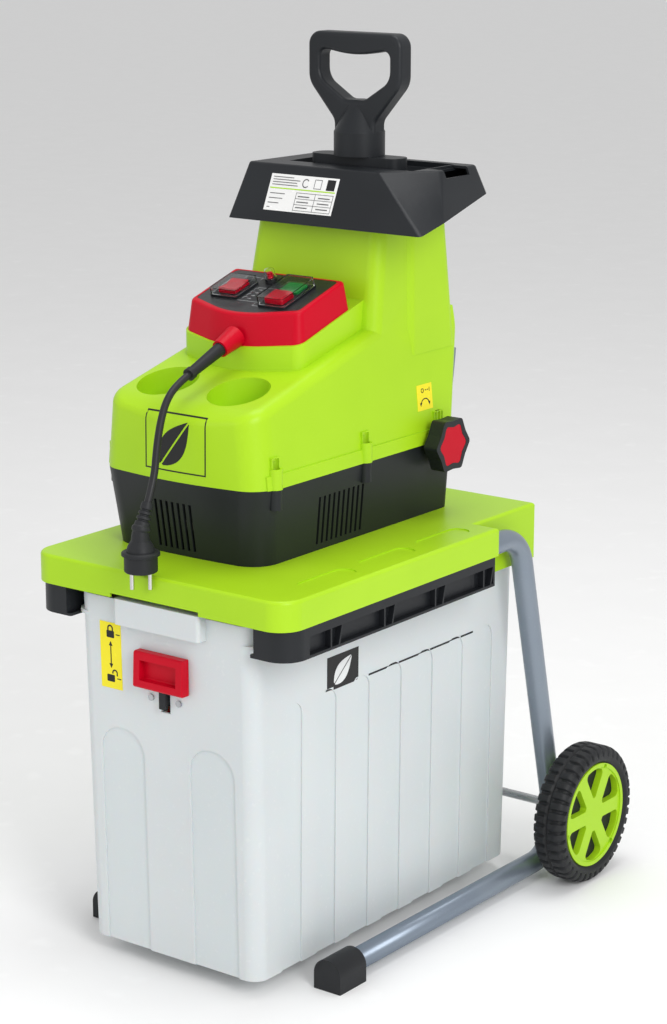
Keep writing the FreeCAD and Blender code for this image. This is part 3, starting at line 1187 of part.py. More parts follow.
def cord_radius(before, here, after):
    """Largest arc that two neighbouring runs allow."""
    first, second = V(*here) - V(*before), V(*after) - V(*here)
    return 0.45 * min(first.Length, second.Length) / math.tan(first.getAngle(second) / 2)


def mains_cord():
    """Round cord along its route."""
    corners = [(V(*CORD_ROUTE[0]), 0)]
    for i in range(1, len(CORD_ROUTE) - 1):
        radius = cord_radius(*CORD_ROUTE[i - 1:i + 2])
        print(f"cord bend {i}: radius {radius:.1f} mm = {radius / CORD_D:.1f} diameters")
        corners.append((V(*CORD_ROUTE[i]), radius))
    corners.append((V(*CORD_ROUTE[-1]), 0))
    path = open_path(corners)
    cord = swept_round(path, CORD_D / 2)
    section = math.pi * CORD_D * CORD_D / 4
    print(f"cord length {path.Length:.1f} mm, volume over section times length "
          f"{cord.Volume / (section * path.Length):.4f}")
    return cord


def plug_body():
    """Moulded earthed plug: grip, flange and pin disc, around the cord's end."""
    x, y = PLUG_AXIS
    sleeve = cone(CORD_ROUTE[-1], (x, y, PLUG_TOP_Z - 28), 6.2, 8.5)
    grip = cone((x, y, PLUG_TOP_Z - 30), (x, y, PLUG_BODY_Z + 20), 9.5, 15.0)
    flange = rod((x, y, PLUG_BODY_Z + 17), (x, y, PLUG_BODY_Z + 21), PLUG_FLANGE_R)
    disc = rod((x, y, PLUG_BODY_Z), (x, y, PLUG_BODY_Z + 18), PLUG_DISC_R)
    return fuse([sleeve, grip, flange, disc]).cut(plug_pins(0.0))


def plug_pins(grow):
    """Two round pins, side by side across the view of the front."""
    x, y = PLUG_AXIS
    pins = []
    for side in (-1, 1):
        px, py = x + side * PLUG_PIN_HALF_SPAN * 0.8, y + side * PLUG_PIN_HALF_SPAN * 0.6
        pins.append(rod((px, py, PLUG_PIN_Z), (px, py, PLUG_BODY_Z + 6), PLUG_PIN_R + grow))
    return pins


def build_cord():
    """Strain relief, cord and plug."""
    save("strain_relief", strain_relief())
    save("mains_cord", mains_cord())
    save("plug_body", plug_body())
    save("plug_pins", Part.Compound(plug_pins(0.0)))


# ======================================================================= drive
def polar(centre, radius, degrees):
    """Point at a distance and angle in the X-Z plane."""
    a = math.radians(degrees)
    return (centre[0] + radius * math.cos(a), centre[1] + radius * math.sin(a))


MOTOR_AXIS = (MOTOR_X, MOTOR_Z)
LAYSHAFT_AXIS = polar(MOTOR_AXIS, STAGE1_MODULE * sum(STAGE1_TEETH) / 2, STAGE1_BEARING_DEG)
ROLLER_AXIS = polar(LAYSHAFT_AXIS, STAGE2_MODULE * sum(STAGE2_TEETH) / 2, STAGE2_BEARING_DEG)


def along_y(axis, y0, y1, radius):
    """Round bar parallel to Y on an axis given by its x and z."""
    return rod((axis[0], y0, axis[1]), (axis[0], y1, axis[1]), radius)


def gear(axis, module, teeth, y0, y1, phase):
    """Spur gear with straight-flanked teeth, cut thin enough to run free."""
    pitch_r = module * teeth / 2
    root_r, tip_r = pitch_r - 1.25 * module, pitch_r + 0.9 * module
    step = 2 * math.pi / teeth
    widths = ((root_r, 0.30), (pitch_r, 0.215), (tip_r, 0.10))
    points = []
    for i in range(teeth):
        middle = math.radians(phase) + i * step
        for radius, share in widths:
            points.append((radius, middle - share * step))
        for radius, share in reversed(widths):
            points.append((radius, middle + share * step))
    outline = [(axis[0] + r * math.cos(a), axis[1] + r * math.sin(a)) for r, a in points]
    return prism(outline, "y", y0, y1)


def mesh_phase(own_teeth, other_teeth, other_phase, bearing_deg):
    """Phase that puts a gap of this gear on a tooth of the other one along the line of centres."""
    other_step = 360.0 / other_teeth
    offset = ((bearing_deg - other_phase) / other_step) % 1.0
    return bearing_deg + 180.0 + 360.0 / own_teeth * (0.5 - offset) * -1.0


def motor():
    """Stator with end shields around the rotor, as separate solids."""
    can = ring_y(MOTOR_AXIS, MOTOR_Y0, MOTOR_Y1, MOTOR_R, MOTOR_BORE)
    feet = [block(MOTOR_X + s * 34 - 9, MOTOR_X + s * 34 + 9, MOTOR_Y0 + 12, MOTOR_Y1 - 12,
                  DECK_TOP + WALL, MOTOR_Z - 40) for s in (-1, 1)]
    return can.fuse(feet)


def ring_y(axis, y0, y1, outer, inner):
    """Round tube parallel to Y."""
    return along_y(axis, y0, y1, outer).cut(along_y(axis, y0 - 1, y1 + 1, inner))


def motor_rotor():
    """Rotor core on its shaft, with the pinion cut on the shaft's end."""
    shaft = along_y(MOTOR_AXIS, MOTOR_Y0 - 14, STAGE1_Y0, SHAFT_R - 2)
    core = along_y(MOTOR_AXIS, MOTOR_Y0 + 8, MOTOR_Y1 - 8, MOTOR_BORE - 1.0)
    pinion = gear(MOTOR_AXIS, STAGE1_MODULE, STAGE1_TEETH[0], STAGE1_Y0, STAGE1_Y1, PINION1_PHASE)
    return fuse([shaft, core, pinion])


def motor_fan():
    """Fan on the front end of the rotor shaft."""
    y0, y1 = MOTOR_Y0 - 13, MOTOR_Y0 - 3
    disc = ring_y(MOTOR_AXIS, y1 - 2, y1, 46.0, SHAFT_R - 2)
    boss = ring_y(MOTOR_AXIS, y0, y1, 11.0, SHAFT_R - 2)
    blades = []
    for i in range(9):
        blade = block(MOTOR_X - 1, MOTOR_X + 1, y0, y1 - 1, MOTOR_Z + 9, MOTOR_Z + 44)
        blade.rotate(V(MOTOR_X, 0, MOTOR_Z), V(0, 1, 0), 40.0 * i)
        blades.append(blade)
    return disc.fuse([boss] + blades)


WHEEL1_PHASE = 3.0
PINION1_PHASE = mesh_phase(STAGE1_TEETH[0], STAGE1_TEETH[1], WHEEL1_PHASE, STAGE1_BEARING_DEG + 180.0)
PINION2_PHASE = 10.0
WHEEL2_PHASE = mesh_phase(STAGE2_TEETH[1], STAGE2_TEETH[0], PINION2_PHASE, STAGE2_BEARING_DEG)


def intermediate_gear():
    """Layshaft with the large wheel of the first stage and the pinion of the second."""
    shaft = along_y(LAYSHAFT_AXIS, CASE_Y0 + 0.5, CASE_Y1 - 0.5, SHAFT_R)
    wheel = gear(LAYSHAFT_AXIS, STAGE1_MODULE, STAGE1_TEETH[1], STAGE1_Y0, STAGE1_Y1, WHEEL1_PHASE)
    pinion = gear(LAYSHAFT_AXIS, STAGE2_MODULE, STAGE2_TEETH[0], STAGE2_Y0, STAGE2_Y1, PINION2_PHASE)
    return fuse([shaft, wheel, pinion])


def roller_gear():
    """Large wheel of the second stage, pressed on the roller shaft against its shoulder."""
    wheel = gear(ROLLER_AXIS, STAGE2_MODULE, STAGE2_TEETH[1], STAGE2_Y0, STAGE2_Y1, WHEEL2_PHASE)
    return wheel.cut(along_y(ROLLER_AXIS, STAGE2_Y0 - 1, STAGE2_Y1 + 1, ROLLER_SHAFT_R - 2))


def cutting_roller():
    """Toothed roller and its stepped shaft."""
    step = 2 * math.pi / ROLLER_TEETH
    outline = []
    for i in range(ROLLER_TEETH):
        a = i * step
        for radius, share in ((ROLLER_ROOT_R, 0.0), (ROLLER_R, 0.18),
                              (ROLLER_R, 0.30), (ROLLER_ROOT_R, 0.55)):
            outline.append((ROLLER_AXIS[0] + radius * math.cos(a + share * step),
                            ROLLER_AXIS[1] + radius * math.sin(a + share * step)))
    teeth = prism(outline, "y", CUTTER_Y0 + CUTTER_WALL + 2, CUTTER_Y1 - CUTTER_WALL - 2)
    body = along_y(ROLLER_AXIS, STAGE2_Y1, CUTTER_Y1 - 0.5, ROLLER_SHAFT_R)
    end = along_y(ROLLER_AXIS, CASE_Y0 + 0.5, STAGE2_Y1 + 1, ROLLER_SHAFT_R - 2)
    return fuse([teeth, body, end])


def case_outline(grow, y0, y1):
    """Two joined cylinders that follow the gears."""
    wheel1 = STAGE1_MODULE * (STAGE1_TEETH[1] / 2 + 1) + 2.5
    wheel2 = STAGE2_MODULE * (STAGE2_TEETH[1] / 2 + 1) + 2.5
    return along_y(LAYSHAFT_AXIS, y0, y1, wheel1 + grow).fuse(
        [along_y(ROLLER_AXIS, y0, y1, wheel2 + grow)])


BEARING_R, BEARING_WIDTH = 12.8, CASE_WALL


def bearing_places():
    """Each plain bearing as (axis, first face, shaft radius)."""
    return [(MOTOR_AXIS, CASE_Y0, SHAFT_R - 2),
            (LAYSHAFT_AXIS, CASE_Y0, SHAFT_R), (LAYSHAFT_AXIS, CASE_Y1 - CASE_WALL, SHAFT_R),
            (ROLLER_AXIS, CASE_Y0, ROLLER_SHAFT_R - 2), (ROLLER_AXIS, CASE_Y1 - CASE_WALL, ROLLER_SHAFT_R),
            (ROLLER_AXIS, CUTTER_Y0, ROLLER_SHAFT_R),
            (ROLLER_AXIS, CUTTER_Y1 - CUTTER_WALL, ROLLER_SHAFT_R)]


def shaft_bearings():
    """Bearing rings in the walls of the gearbox and of the cutter housing."""
    rings = [ring_y(axis, y, y + BEARING_WIDTH, BEARING_R, radius + 0.1)
             for axis, y, radius in bearing_places()]
    rings.append(ring_y(MOTOR_AXIS, MOTOR_Y0, MOTOR_Y0 + BEARING_WIDTH, MOTOR_BORE, SHAFT_R - 2 + 0.1))
    return rings


def gearbox_case():
    """Cast case around both gear stages, on two feet."""
    hollow = case_outline(0.0, CASE_Y0 + CASE_WALL, CASE_Y1 - CASE_WALL)
    body = case_outline(3.0, CASE_Y0, CASE_Y1).cut(hollow)
    seats = []
    for axis, y, radius in bearing_places():
        seats.append(along_y(axis, y - 0.01, y + BEARING_WIDTH + 0.01, BEARING_R))
    foot_top = ROLLER_AXIS[1] - 50
    feet = block(ROLLER_AXIS[0] - 30, ROLLER_AXIS[0] + 30, CASE_Y0, CASE_Y1, DECK_TOP + WALL, foot_top)
    feet = feet.cut(case_outline(0.0, CASE_Y0, CASE_Y1))
    return body.fuse(feet).cut(seats)


def cutter_housing():
    """Cast shaft around the roller, open above to the chute and below to the box."""
    outer = block(CUTTER_X0, CUTTER_X1, CUTTER_Y0, CUTTER_Y1, CUTTER_Z0, CUTTER_Z1)
    w = CUTTER_WALL
    inner = block(CUTTER_X0 + w, CUTTER_X1 - w, CUTTER_Y0 + w, CUTTER_Y1 - w, CUTTER_Z0 - 1, CUTTER_Z1 + 1)
    flange_z = DECK_TOP + WALL
    flange = block(CUTTER_X0 - 10, CUTTER_X1, CUTTER_Y0 - 8, CUTTER_Y1, flange_z, flange_z + 4)
    ledge_z = ROLLER_AXIS[1] - PLATE_HALF_Z - GAP
    ledge = block(plate_x() + 4, CUTTER_X1 - 1, CUTTER_Y0 + 1, CUTTER_Y1 - 1, ledge_z - 8, ledge_z)
    body = outer.fuse(flange).cut(inner).fuse(ledge)
    seats = [along_y(ROLLER_AXIS, y - 0.01, y + w + 0.01, BEARING_R) for y in (CUTTER_Y0, CUTTER_Y1 - w)]
    screw = rod((plate_x(), KNOB_Y, KNOB_Z), (KNOB_X0, KNOB_Y, KNOB_Z), SCREW_THREAD_R + 0.2)
    return body.cut(seats + [screw])



def plate_x():
    """Face of the pressure plate at its closest setting."""
    return ROLLER_AXIS[0] + ROLLER_R + PLATE_GAP


def pressure_plate():
    """Aluminium counter plate that the screw moves along X, with its blind threaded hole."""
    x0 = plate_x()
    plate = block(x0, x0 + PLATE_THICK, CUTTER_Y0 + CUTTER_WALL + GAP, CUTTER_Y1 - CUTTER_WALL - GAP,
                  ROLLER_AXIS[1] - PLATE_HALF_Z, ROLLER_AXIS[1] + PLATE_HALF_Z)
    hole = rod((x0 + 5, KNOB_Y, KNOB_Z), (x0 + PLATE_THICK + 1, KNOB_Y, KNOB_Z), SCREW_THREAD_R + 0.2)
    return plate.cut(hole)


def adjusting_screw():
    """Spindle from the pressure plate out to the knob."""
    return rod((plate_x() + 11, KNOB_Y, KNOB_Z), (KNOB_X0 + 8, KNOB_Y, KNOB_Z), SCREW_THREAD_R)


def knob_outline(radius, wave):
    """Six-lobed outline, one rounded corner on each lobe and in each hollow."""
    outline = []
    for i in range(2 * KNOB_LOBES):
        angle = math.pi * i / KNOB_LOBES
        r = radius + (wave if i % 2 == 0 else -wave)
        corner = 5.0 if i % 2 == 0 else 4.0
        outline.append((KNOB_Y + r * math.cos(angle), KNOB_Z + r * math.sin(angle), corner))
    return outline


def adjusting_knob():
    """Star knob with a stem that holds the spindle and a pocket for the red inlay."""
    body = prism(knob_outline(KNOB_R, KNOB_WAVE), "x", KNOB_X0, KNOB_X1)
    stem = rod((KNOB_X0 - 1.2, KNOB_Y, KNOB_Z), (KNOB_X0, KNOB_Y, KNOB_Z), 12.0)
    pocket = prism(knob_outline(KNOB_R - 7, KNOB_WAVE), "x", KNOB_X1 - 2, KNOB_X1 + 1)
    bore = rod((KNOB_X0 - 20, KNOB_Y, KNOB_Z), (KNOB_X0 + 8, KNOB_Y, KNOB_Z), SCREW_THREAD_R + 0.02)
    return body.fuse(stem).cut([pocket, bore])


def knob_inlay():
    """Red star on the knob's face."""
    return prism(knob_outline(KNOB_R - 7.1, KNOB_WAVE), "x", KNOB_X1 - 2, KNOB_X1 - 0.3)


def run_capacitor():
    """Capacitor on the floor of the lower housing, beside the motor."""
    y0, y1 = MOTOR_Y0 + 10, MOTOR_Y1 - 5
    centre = (PARTING_SECTION[0] + 28, DECK_TOP + WALL + 17)
    can = along_y(centre, y0, y1, 17.0)
    return can


def safety_switch():
    """Interlock switch under the deck's top, worked by the hook of the box latch."""
    y0 = latch_keeper().BoundBox.YMax
    top = DECK_TOP - DECK_WALL
    depth, height = 12.0, 18.0
    return block(LATCH_X - KEEPER_HALF, LATCH_X + KEEPER_HALF, y0, y0 + depth, top - height, top)


def build_drive():
    """Motor, gear train, roller, pressure plate and the electrics inside."""
    save("motor_stator", motor())
    save("motor_rotor", motor_rotor())
    save("motor_fan", motor_fan())
    save("intermediate_gear", intermediate_gear())
    save("roller_gear", roller_gear())
    save("cutting_roller", cutting_roller())
    save("shaft_bearings", Part.Compound(shaft_bearings()))
    save("gearbox_case", gearbox_case())
    save("cutter_housing", cutter_housing())
    save("pressure_plate", pressure_plate())
    save("adjusting_screw", adjusting_screw())
    save("adjusting_knob", adjusting_knob())
    save("knob_inlay", knob_inlay())
    save("run_capacitor", run_capacitor())
    save("safety_switch", safety_switch())


os.makedirs("parts", exist_ok=True)
build_frame()
build_deck()
build_housing()
build_hopper()
build_controls()
build_cord()
build_drive()
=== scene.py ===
import json
import math
import bmesh
import bpy
import numpy as np
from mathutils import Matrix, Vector


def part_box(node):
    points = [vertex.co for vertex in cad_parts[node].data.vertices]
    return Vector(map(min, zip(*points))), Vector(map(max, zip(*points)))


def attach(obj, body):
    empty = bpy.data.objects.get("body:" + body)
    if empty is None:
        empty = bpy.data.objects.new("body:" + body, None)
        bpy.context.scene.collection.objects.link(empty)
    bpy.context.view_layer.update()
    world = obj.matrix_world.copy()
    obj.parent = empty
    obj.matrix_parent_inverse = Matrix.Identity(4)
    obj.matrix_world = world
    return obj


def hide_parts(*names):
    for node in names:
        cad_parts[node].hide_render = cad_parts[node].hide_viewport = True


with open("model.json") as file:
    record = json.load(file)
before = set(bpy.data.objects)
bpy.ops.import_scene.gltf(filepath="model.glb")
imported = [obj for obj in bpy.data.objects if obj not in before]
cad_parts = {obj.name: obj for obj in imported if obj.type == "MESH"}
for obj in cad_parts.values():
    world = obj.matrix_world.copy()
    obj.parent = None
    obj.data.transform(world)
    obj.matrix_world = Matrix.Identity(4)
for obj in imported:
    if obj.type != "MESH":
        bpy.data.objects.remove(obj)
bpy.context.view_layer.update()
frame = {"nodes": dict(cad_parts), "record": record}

cad = frame["nodes"]

# ---------------------------------------------------------------- side frames
# Two C-shaped tubes of 25 mm steel, bent cold, coated with grey powder paint. Each is bolted up
# between rail and deck, and runs down behind the wheel and forward along the floor to its foot.
TUBE_TOP_Y, TUBE_LOW_Y = 0.1468, 0.2435
TUBE_TOP_BEND, TUBE_LOW_BEND = 0.045, 0.042
TUBE_FRONT_TOP = -0.060
TUBE_SIDES = 40


def noise(tree, scale, detail=3.0, stretch=None):
    """Noise on the piece's own coordinates, with a scale in waves per metre."""
    place = tree.nodes.new("ShaderNodeTexCoord")
    source = place.outputs["Object"]
    if stretch:
        turn = tree.nodes.new("ShaderNodeMapping")
        turn.inputs["Scale"].default_value = stretch
        tree.links.new(source, turn.inputs["Vector"])
        source = turn.outputs["Vector"]
    node = tree.nodes.new("ShaderNodeTexNoise")
    node.inputs["Scale"].default_value = scale
    node.inputs["Detail"].default_value = detail
    tree.links.new(source, node.inputs["Vector"])
    return node.outputs["Fac"]


def blended(tree, factor, first, second):
    """Colour between two others."""
    node = tree.nodes.new("ShaderNodeMix")
    node.data_type = "RGBA"
    tree.links.new(factor, node.inputs["Factor"])
    for socket, value in (("A", first), ("B", second)):
        if isinstance(value, tuple):
            node.inputs[socket].default_value = (*value, 1.0)
        else:
            tree.links.new(value, node.inputs[socket])
    return node.outputs["Result"]


def spread(tree, value, low, high, to_low=0.0, to_high=1.0):
    """Value moved from one range to another and held inside it."""
    node = tree.nodes.new("ShaderNodeMapRange")
    for name, number in (("From Min", low), ("From Max", high), ("To Min", to_low), ("To Max", to_high)):
        node.inputs[name].default_value = number
    tree.links.new(value, node.inputs["Value"])
    return node.outputs["Result"]


def finish(name, colour, shade, rough, grain=900.0, depth=0.00002, patch=9.0, speck=None, stretch=None,
           **sockets):
    """Material: broad patches between two shades, faint specks, and a fine grain in the surface."""
    made = bpy.data.materials.new(name)
    made.use_nodes = True
    tree = made.node_tree
    shader = tree.nodes["Principled BSDF"]
    broad = spread(tree, noise(tree, patch, 2.0), 0.35, 0.65)
    tone = blended(tree, broad, colour, shade)
    fine = noise(tree, grain, 4.0, stretch)
    dust = spread(tree, noise(tree, grain * 0.31, 2.0), 0.62, 0.74, 0.0, 0.35)
    tone = blended(tree, dust, tone, speck or tuple(min(1.0, c * 1.25 + 0.004) for c in colour))
    tree.links.new(tone, shader.inputs["Base Color"])
    tree.links.new(spread(tree, fine, 0.3, 0.7, rough - 0.05, rough + 0.06), shader.inputs["Roughness"])
    bump = tree.nodes.new("ShaderNodeBump")
    bump.inputs["Strength"].default_value = 0.6
    bump.inputs["Distance"].default_value = depth
    tree.links.new(fine, bump.inputs["Height"])
    tree.links.new(bump.outputs["Normal"], shader.inputs["Normal"])
    shader.inputs["Specular IOR Level"].default_value = 0.28
    for socket, value in sockets.items():
        shader.inputs[socket.replace("_", " ")].default_value = value
    return made


def dressed(node, coat):
    """CAD node that keeps its shape and gets a material."""
    if cad[node].material_slots:
        cad[node].material_slots[0].material = coat
    else:
        cad[node].data.materials.append(coat)
    for spare in list(cad[node].material_slots)[1:]:
        spare.material = coat


def piece_from(name, points, faces, coat, body, smooth=True):
    """New mesh piece from arrays of points and faces, riding on a body."""
    mesh = bpy.data.meshes.new(name)
    mesh.from_pydata(np.asarray(points, float).tolist(), [], [list(map(int, f)) for f in faces])
    mesh.validate()
    if smooth:
        mesh.polygons.foreach_set("use_smooth", np.ones(len(mesh.polygons), bool))
    mesh.materials.append(coat)
    piece = bpy.data.objects.new(name, mesh)
    bpy.context.scene.collection.objects.link(piece)
    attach(piece, body)
    return piece


def grid_faces(rows, columns, wrap_rows=False, wrap_columns=True):
    """Quads of a grid of points, closed round in either direction."""
    r = np.arange(rows if wrap_rows else rows - 1)
    c = np.arange(columns if wrap_columns else columns - 1)
    r, c = np.meshgrid(r, c, indexing="ij")
    r2, c2 = (r + 1) % rows, (c + 1) % columns
    return np.stack([r * columns + c, r * columns + c2, r2 * columns + c2, r2 * columns + c], -1).reshape(-1, 4)


def rounded_path(corners, step=0.004):
    """Points along straight runs joined by tangent arcs; each corner is (u, v, radius)."""
    points = [np.array(corners[0][:2])[None]]
    for before, here, after in zip(corners, corners[1:], corners[2:]):
        p, radius = np.array(here[:2]), here[2]
        a, b = np.array(before[:2]) - p, np.array(after[:2]) - p
        a, b = a / np.linalg.norm(a), b / np.linalg.norm(b)
        half = math.acos(float(a @ b)) / 2
        bisector = (a + b) / np.linalg.norm(a + b)
        centre = p + bisector * radius / math.sin(half)
        start, end = p + a * radius / math.tan(half) - centre, p + b * radius / math.tan(half) - centre
        turn = math.pi - 2 * half
        sign = math.copysign(1.0, start[0] * end[1] - start[1] * end[0])
        angles = sign * np.linspace(0, turn, max(6, int(radius * turn / step)))
        c, s = np.cos(angles)[:, None], np.sin(angles)[:, None]
        points.append(centre + start * c + np.array([-start[1], start[0]]) * s)
    points.append(np.array(corners[-1][:2])[None])
    return np.concatenate(points)


def tube_surface(path, x, radius, around=TUBE_SIDES):
    """Circle carried along a path in the Y-Z plane: p + r (cos t * X + sin t * N), N square to the path."""
    tangent = np.gradient(path, axis=0)
    tangent /= np.linalg.norm(tangent, axis=1)[:, None]
    t = np.linspace(0, 2 * np.pi, around, endpoint=False)
    across = radius * np.cos(t)[None, :] + x + 0 * path[:, :1]
    y = path[:, :1] - tangent[:, 1:] * radius * np.sin(t)
    z = path[:, 1:] + tangent[:, :1] * radius * np.sin(t)
    return np.stack([across, y, z], -1).reshape(-1, 3)


powder_grey = finish("powder_grey", (0.235, 0.275, 0.325), (0.205, 0.245, 0.300), 0.34, grain=1500.0,
                     depth=0.00003, Metallic=0.55, Coat_Weight=0.25, Coat_Roughness=0.2)
for side in ("left", "right"):
    low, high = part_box(f"side_frame_{side}")
    radius = (high.x - low.x) / 2
    corners = [(TUBE_FRONT_TOP, high.z - radius, 0), (TUBE_TOP_Y, high.z - radius, TUBE_TOP_BEND),
               (TUBE_LOW_Y, low.z + radius, TUBE_LOW_BEND), (low.y, low.z + radius, 0)]
    path = rounded_path(corners)
    points = tube_surface(path, (low.x + high.x) / 2, radius)
    rings = len(path)
    first_end = list(range(TUBE_SIDES - 1, -1, -1))
    last_end = list(range((rings - 1) * TUBE_SIDES, rings * TUBE_SIDES))
    faces = grid_faces(rings, TUBE_SIDES).tolist() + [first_end, last_end]
    frame_tube = piece_from(f"frame_tube_{side}", points, faces, powder_grey, "chassis")
    bpy.context.view_layer.update()
    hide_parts(f"side_frame_{side}")

# ---------------------------------------------------------------- feet, axle and bolts
# Rubber caps pushed on the floor tubes' ends, a bright 10 mm axle through both tubes, retaining rings
# inside the hubs, and the four bolts that hold each tube between rail and deck.
rubber_black = finish("rubber_black", (0.012, 0.013, 0.015), (0.017, 0.018, 0.020), 0.52, grain=1300.0,
                      depth=0.00006)
steel_bright = finish("steel_bright", (0.50, 0.51, 0.52), (0.42, 0.43, 0.45), 0.28, grain=700.0,
                      depth=0.00001, stretch=(0.2, 3.0, 3.0), Metallic=1.0)


def moulding(node, name, body, coat, width, segments=2, sharp=28.0, join=0.03):
    """Copy of a CAD node with its sharp edges rounded.

    Its doubles are merged first, a corner where two walls only touch is parted again, and triangles
    that lie in one plane are joined. Edges steeper than the sharp angle get the bevel's width.
    """
    mesh = cad[node].data.copy()
    mesh.name = name
    for layer in ("custom_normal", "sharp_edge", "sharp_face"):
        if mesh.attributes.get(layer):
            mesh.attributes.remove(mesh.attributes[layer])
    work = bmesh.new()
    work.from_mesh(mesh)
    bmesh.ops.remove_doubles(work, verts=work.verts, dist=0.000002)
    for pinched in [corner for corner in work.verts if not corner.is_manifold]:
        bmesh.utils.vert_separate(pinched, ())
    bmesh.ops.dissolve_degenerate(work, dist=0.00001, edges=work.edges)
    if join:
        bmesh.ops.dissolve_limit(work, angle_limit=math.radians(join), verts=work.verts, edges=work.edges)
    for edge in work.edges:
        edge.smooth = len(edge.link_faces) == 2 and edge.calc_face_angle(0.0) < math.radians(sharp)
    for face in work.faces:
        face.smooth = True
    work.to_mesh(mesh)
    work.free()
    mesh.materials.clear()
    mesh.materials.append(coat)
    piece = bpy.data.objects.new(name, mesh)
    bpy.context.scene.collection.objects.link(piece)
    if width:
        round_off = piece.modifiers.new("rounded_edges", "BEVEL")
        round_off.width = width
        round_off.segments = segments
        round_off.limit_method = "ANGLE"
        round_off.angle_limit = math.radians(sharp)
        round_off.use_clamp_overlap = True
        round_off.harden_normals = False
        round_off.miter_outer = "MITER_ARC"
        even = piece.modifiers.new("even_shading", "WEIGHTED_NORMAL")
        even.keep_sharp = True
        even.weight = 80
    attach(piece, body)
    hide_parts(node)
    return piece


for side in ("left", "right"):
    moulding(f"foot_{side}", f"rubber_foot_{side}", "chassis", rubber_black, 0.0015, 3)
for node in ("axle", "frame_bolts", "latch_screws", "housing_screws", "adjusting_screw"):
    dressed(node, steel_bright)
black_moulded = finish("black_moulded", (0.0100, 0.0115, 0.0140), (0.0140, 0.0160, 0.0190), 0.42, grain=1700.0,
                       depth=0.00005)
dressed("axle_caps", black_moulded)

# ---------------------------------------------------------------- wheels
# Hard black tyres moulded with two staggered rows of tread blocks on either side of a groove, on
# lime green hubs with six deep spokes and three small gates around the rim.
TREAD_BLOCKS, TREAD_DEPTH = 40, 0.0032
STEPS_A_BLOCK, TYRE_ACROSS, SHOULDER_R = 18, 52, 0.0095
CORE_SINK, CORE_WALL, CORE_BORE, CORE_RIM, CORE_SIDES = 0.0105, 0.0020, 0.016, 0.0045, 96
tyre_black = finish("tyre_black", (0.012, 0.013, 0.014), (0.017, 0.018, 0.020), 0.50, grain=1100.0,
                    depth=0.00006, speck=(0.035, 0.035, 0.035))
lime = finish("lime_moulded", (0.395, 0.660, 0.013), (0.372, 0.632, 0.011), 0.36, grain=1500.0, depth=0.00003,
              speck=(0.42, 0.69, 0.03))


def step_up(value, start, end):
    """0 below start, 1 above end, smooth between."""
    t = np.clip((value - start) / (end - start), 0, 1)
    return t * t * (3 - 2 * t)


def tyre_surface(low, high, bead, around, across):
    """Closed ring: a rounded section turned about the axle, sunk where the tread's slots and groove run.

    Section: from the bead out along one side, over a rounded shoulder, across the tread and back.
    """
    half, outer = (high.x - low.x) / 2, (high.z - low.z) / 2
    section = [(-half + 0.004, bead, 0), (-half, bead + 0.005, 0.004), (-half, outer, SHOULDER_R),
               (half, outer, SHOULDER_R), (half, bead + 0.005, 0.004), (half - 0.004, bead, 0)]
    corners = rounded_path(section, 0.0008)
    along = np.concatenate([[0], np.cumsum(np.linalg.norm(np.diff(corners, axis=0), axis=1))])
    even = np.linspace(0, along[-1], across)
    x, r = np.interp(even, along, corners[:, 0]), np.interp(even, along, corners[:, 1])
    turn = np.linspace(0, 2 * np.pi, around, endpoint=False)[:, None]
    row_shift = np.where(x < 0, 0.0, 0.5)[None, :]
    phase = (turn / (2 * np.pi) * TREAD_BLOCKS + row_shift) % 1.0
    gap = 1 - step_up(np.abs(phase - 0.5), 0.13, 0.20)
    reach = step_up(np.abs(x), 0.0022, 0.0034)[None, :] * (1 - step_up(outer - r, 0.009, 0.0115))[None, :]
    groove = (1 - step_up(np.abs(x), 0.0010, 0.0019))[None, :] * step_up(r, outer - 0.004, outer - 0.002)[None, :]
    sink = TREAD_DEPTH * np.maximum(gap * reach, groove)
    shoulder_line = 0.0007 * np.exp(-((outer - r - 0.014) / 0.0008) ** 2)[None, :]
    radius = r[None, :] - sink - shoulder_line
    inward = np.sign(x)[None, :] * sink * step_up(outer - r, 0.001, 0.006)[None, :] * 0.8
    centre = (low + high) / 2
    px = centre.x + x[None, :] - inward
    return np.stack([px + 0 * radius, centre.y + radius * np.cos(turn), centre.z + radius * np.sin(turn)],
                    -1).reshape(-1, 3)


for side in ("left", "right"):
    low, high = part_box(f"tyre_{side}")
    hub_low, hub_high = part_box(f"hub_{side}")
    around = TREAD_BLOCKS * STEPS_A_BLOCK
    points = tyre_surface(low, high, (hub_high.z - hub_low.z) / 2, around, TYRE_ACROSS)
    tyre = piece_from(f"tread_tyre_{side}", points, grid_faces(around, TYRE_ACROSS, True, True)[:, ::-1],
                      tyre_black, f"wheel_{side}")
    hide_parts(f"tyre_{side}")
    moulding(f"hub_{side}", f"spoked_hub_{side}", f"wheel_{side}", lime, 0.0009)
    centre, outward = (hub_low + hub_high) / 2, (1 if side == "right" else -1)
    face = hub_high.x if side == "right" else hub_low.x
    rim = (hub_high.z - hub_low.z) / 2 - CORE_RIM
    outer_x, inner_x = face - outward * CORE_SINK, face - outward * (CORE_SINK + CORE_WALL)
    core = [(outer_x, CORE_BORE), (outer_x, rim), (inner_x, rim), (inner_x, CORE_BORE)]
    turn = np.linspace(0, 2 * np.pi, CORE_SIDES, endpoint=False)
    points = np.array([np.stack([0 * turn + x, centre.y + r * np.cos(turn), centre.z + r * np.sin(turn)], -1)
                       for x, r in core]).reshape(-1, 3)
    faces = grid_faces(len(core), CORE_SIDES, True, True)[:, ::-outward]
    piece_from(f"wheel_core_{side}", points, faces, tyre_black, f"wheel_{side}", smooth=False)

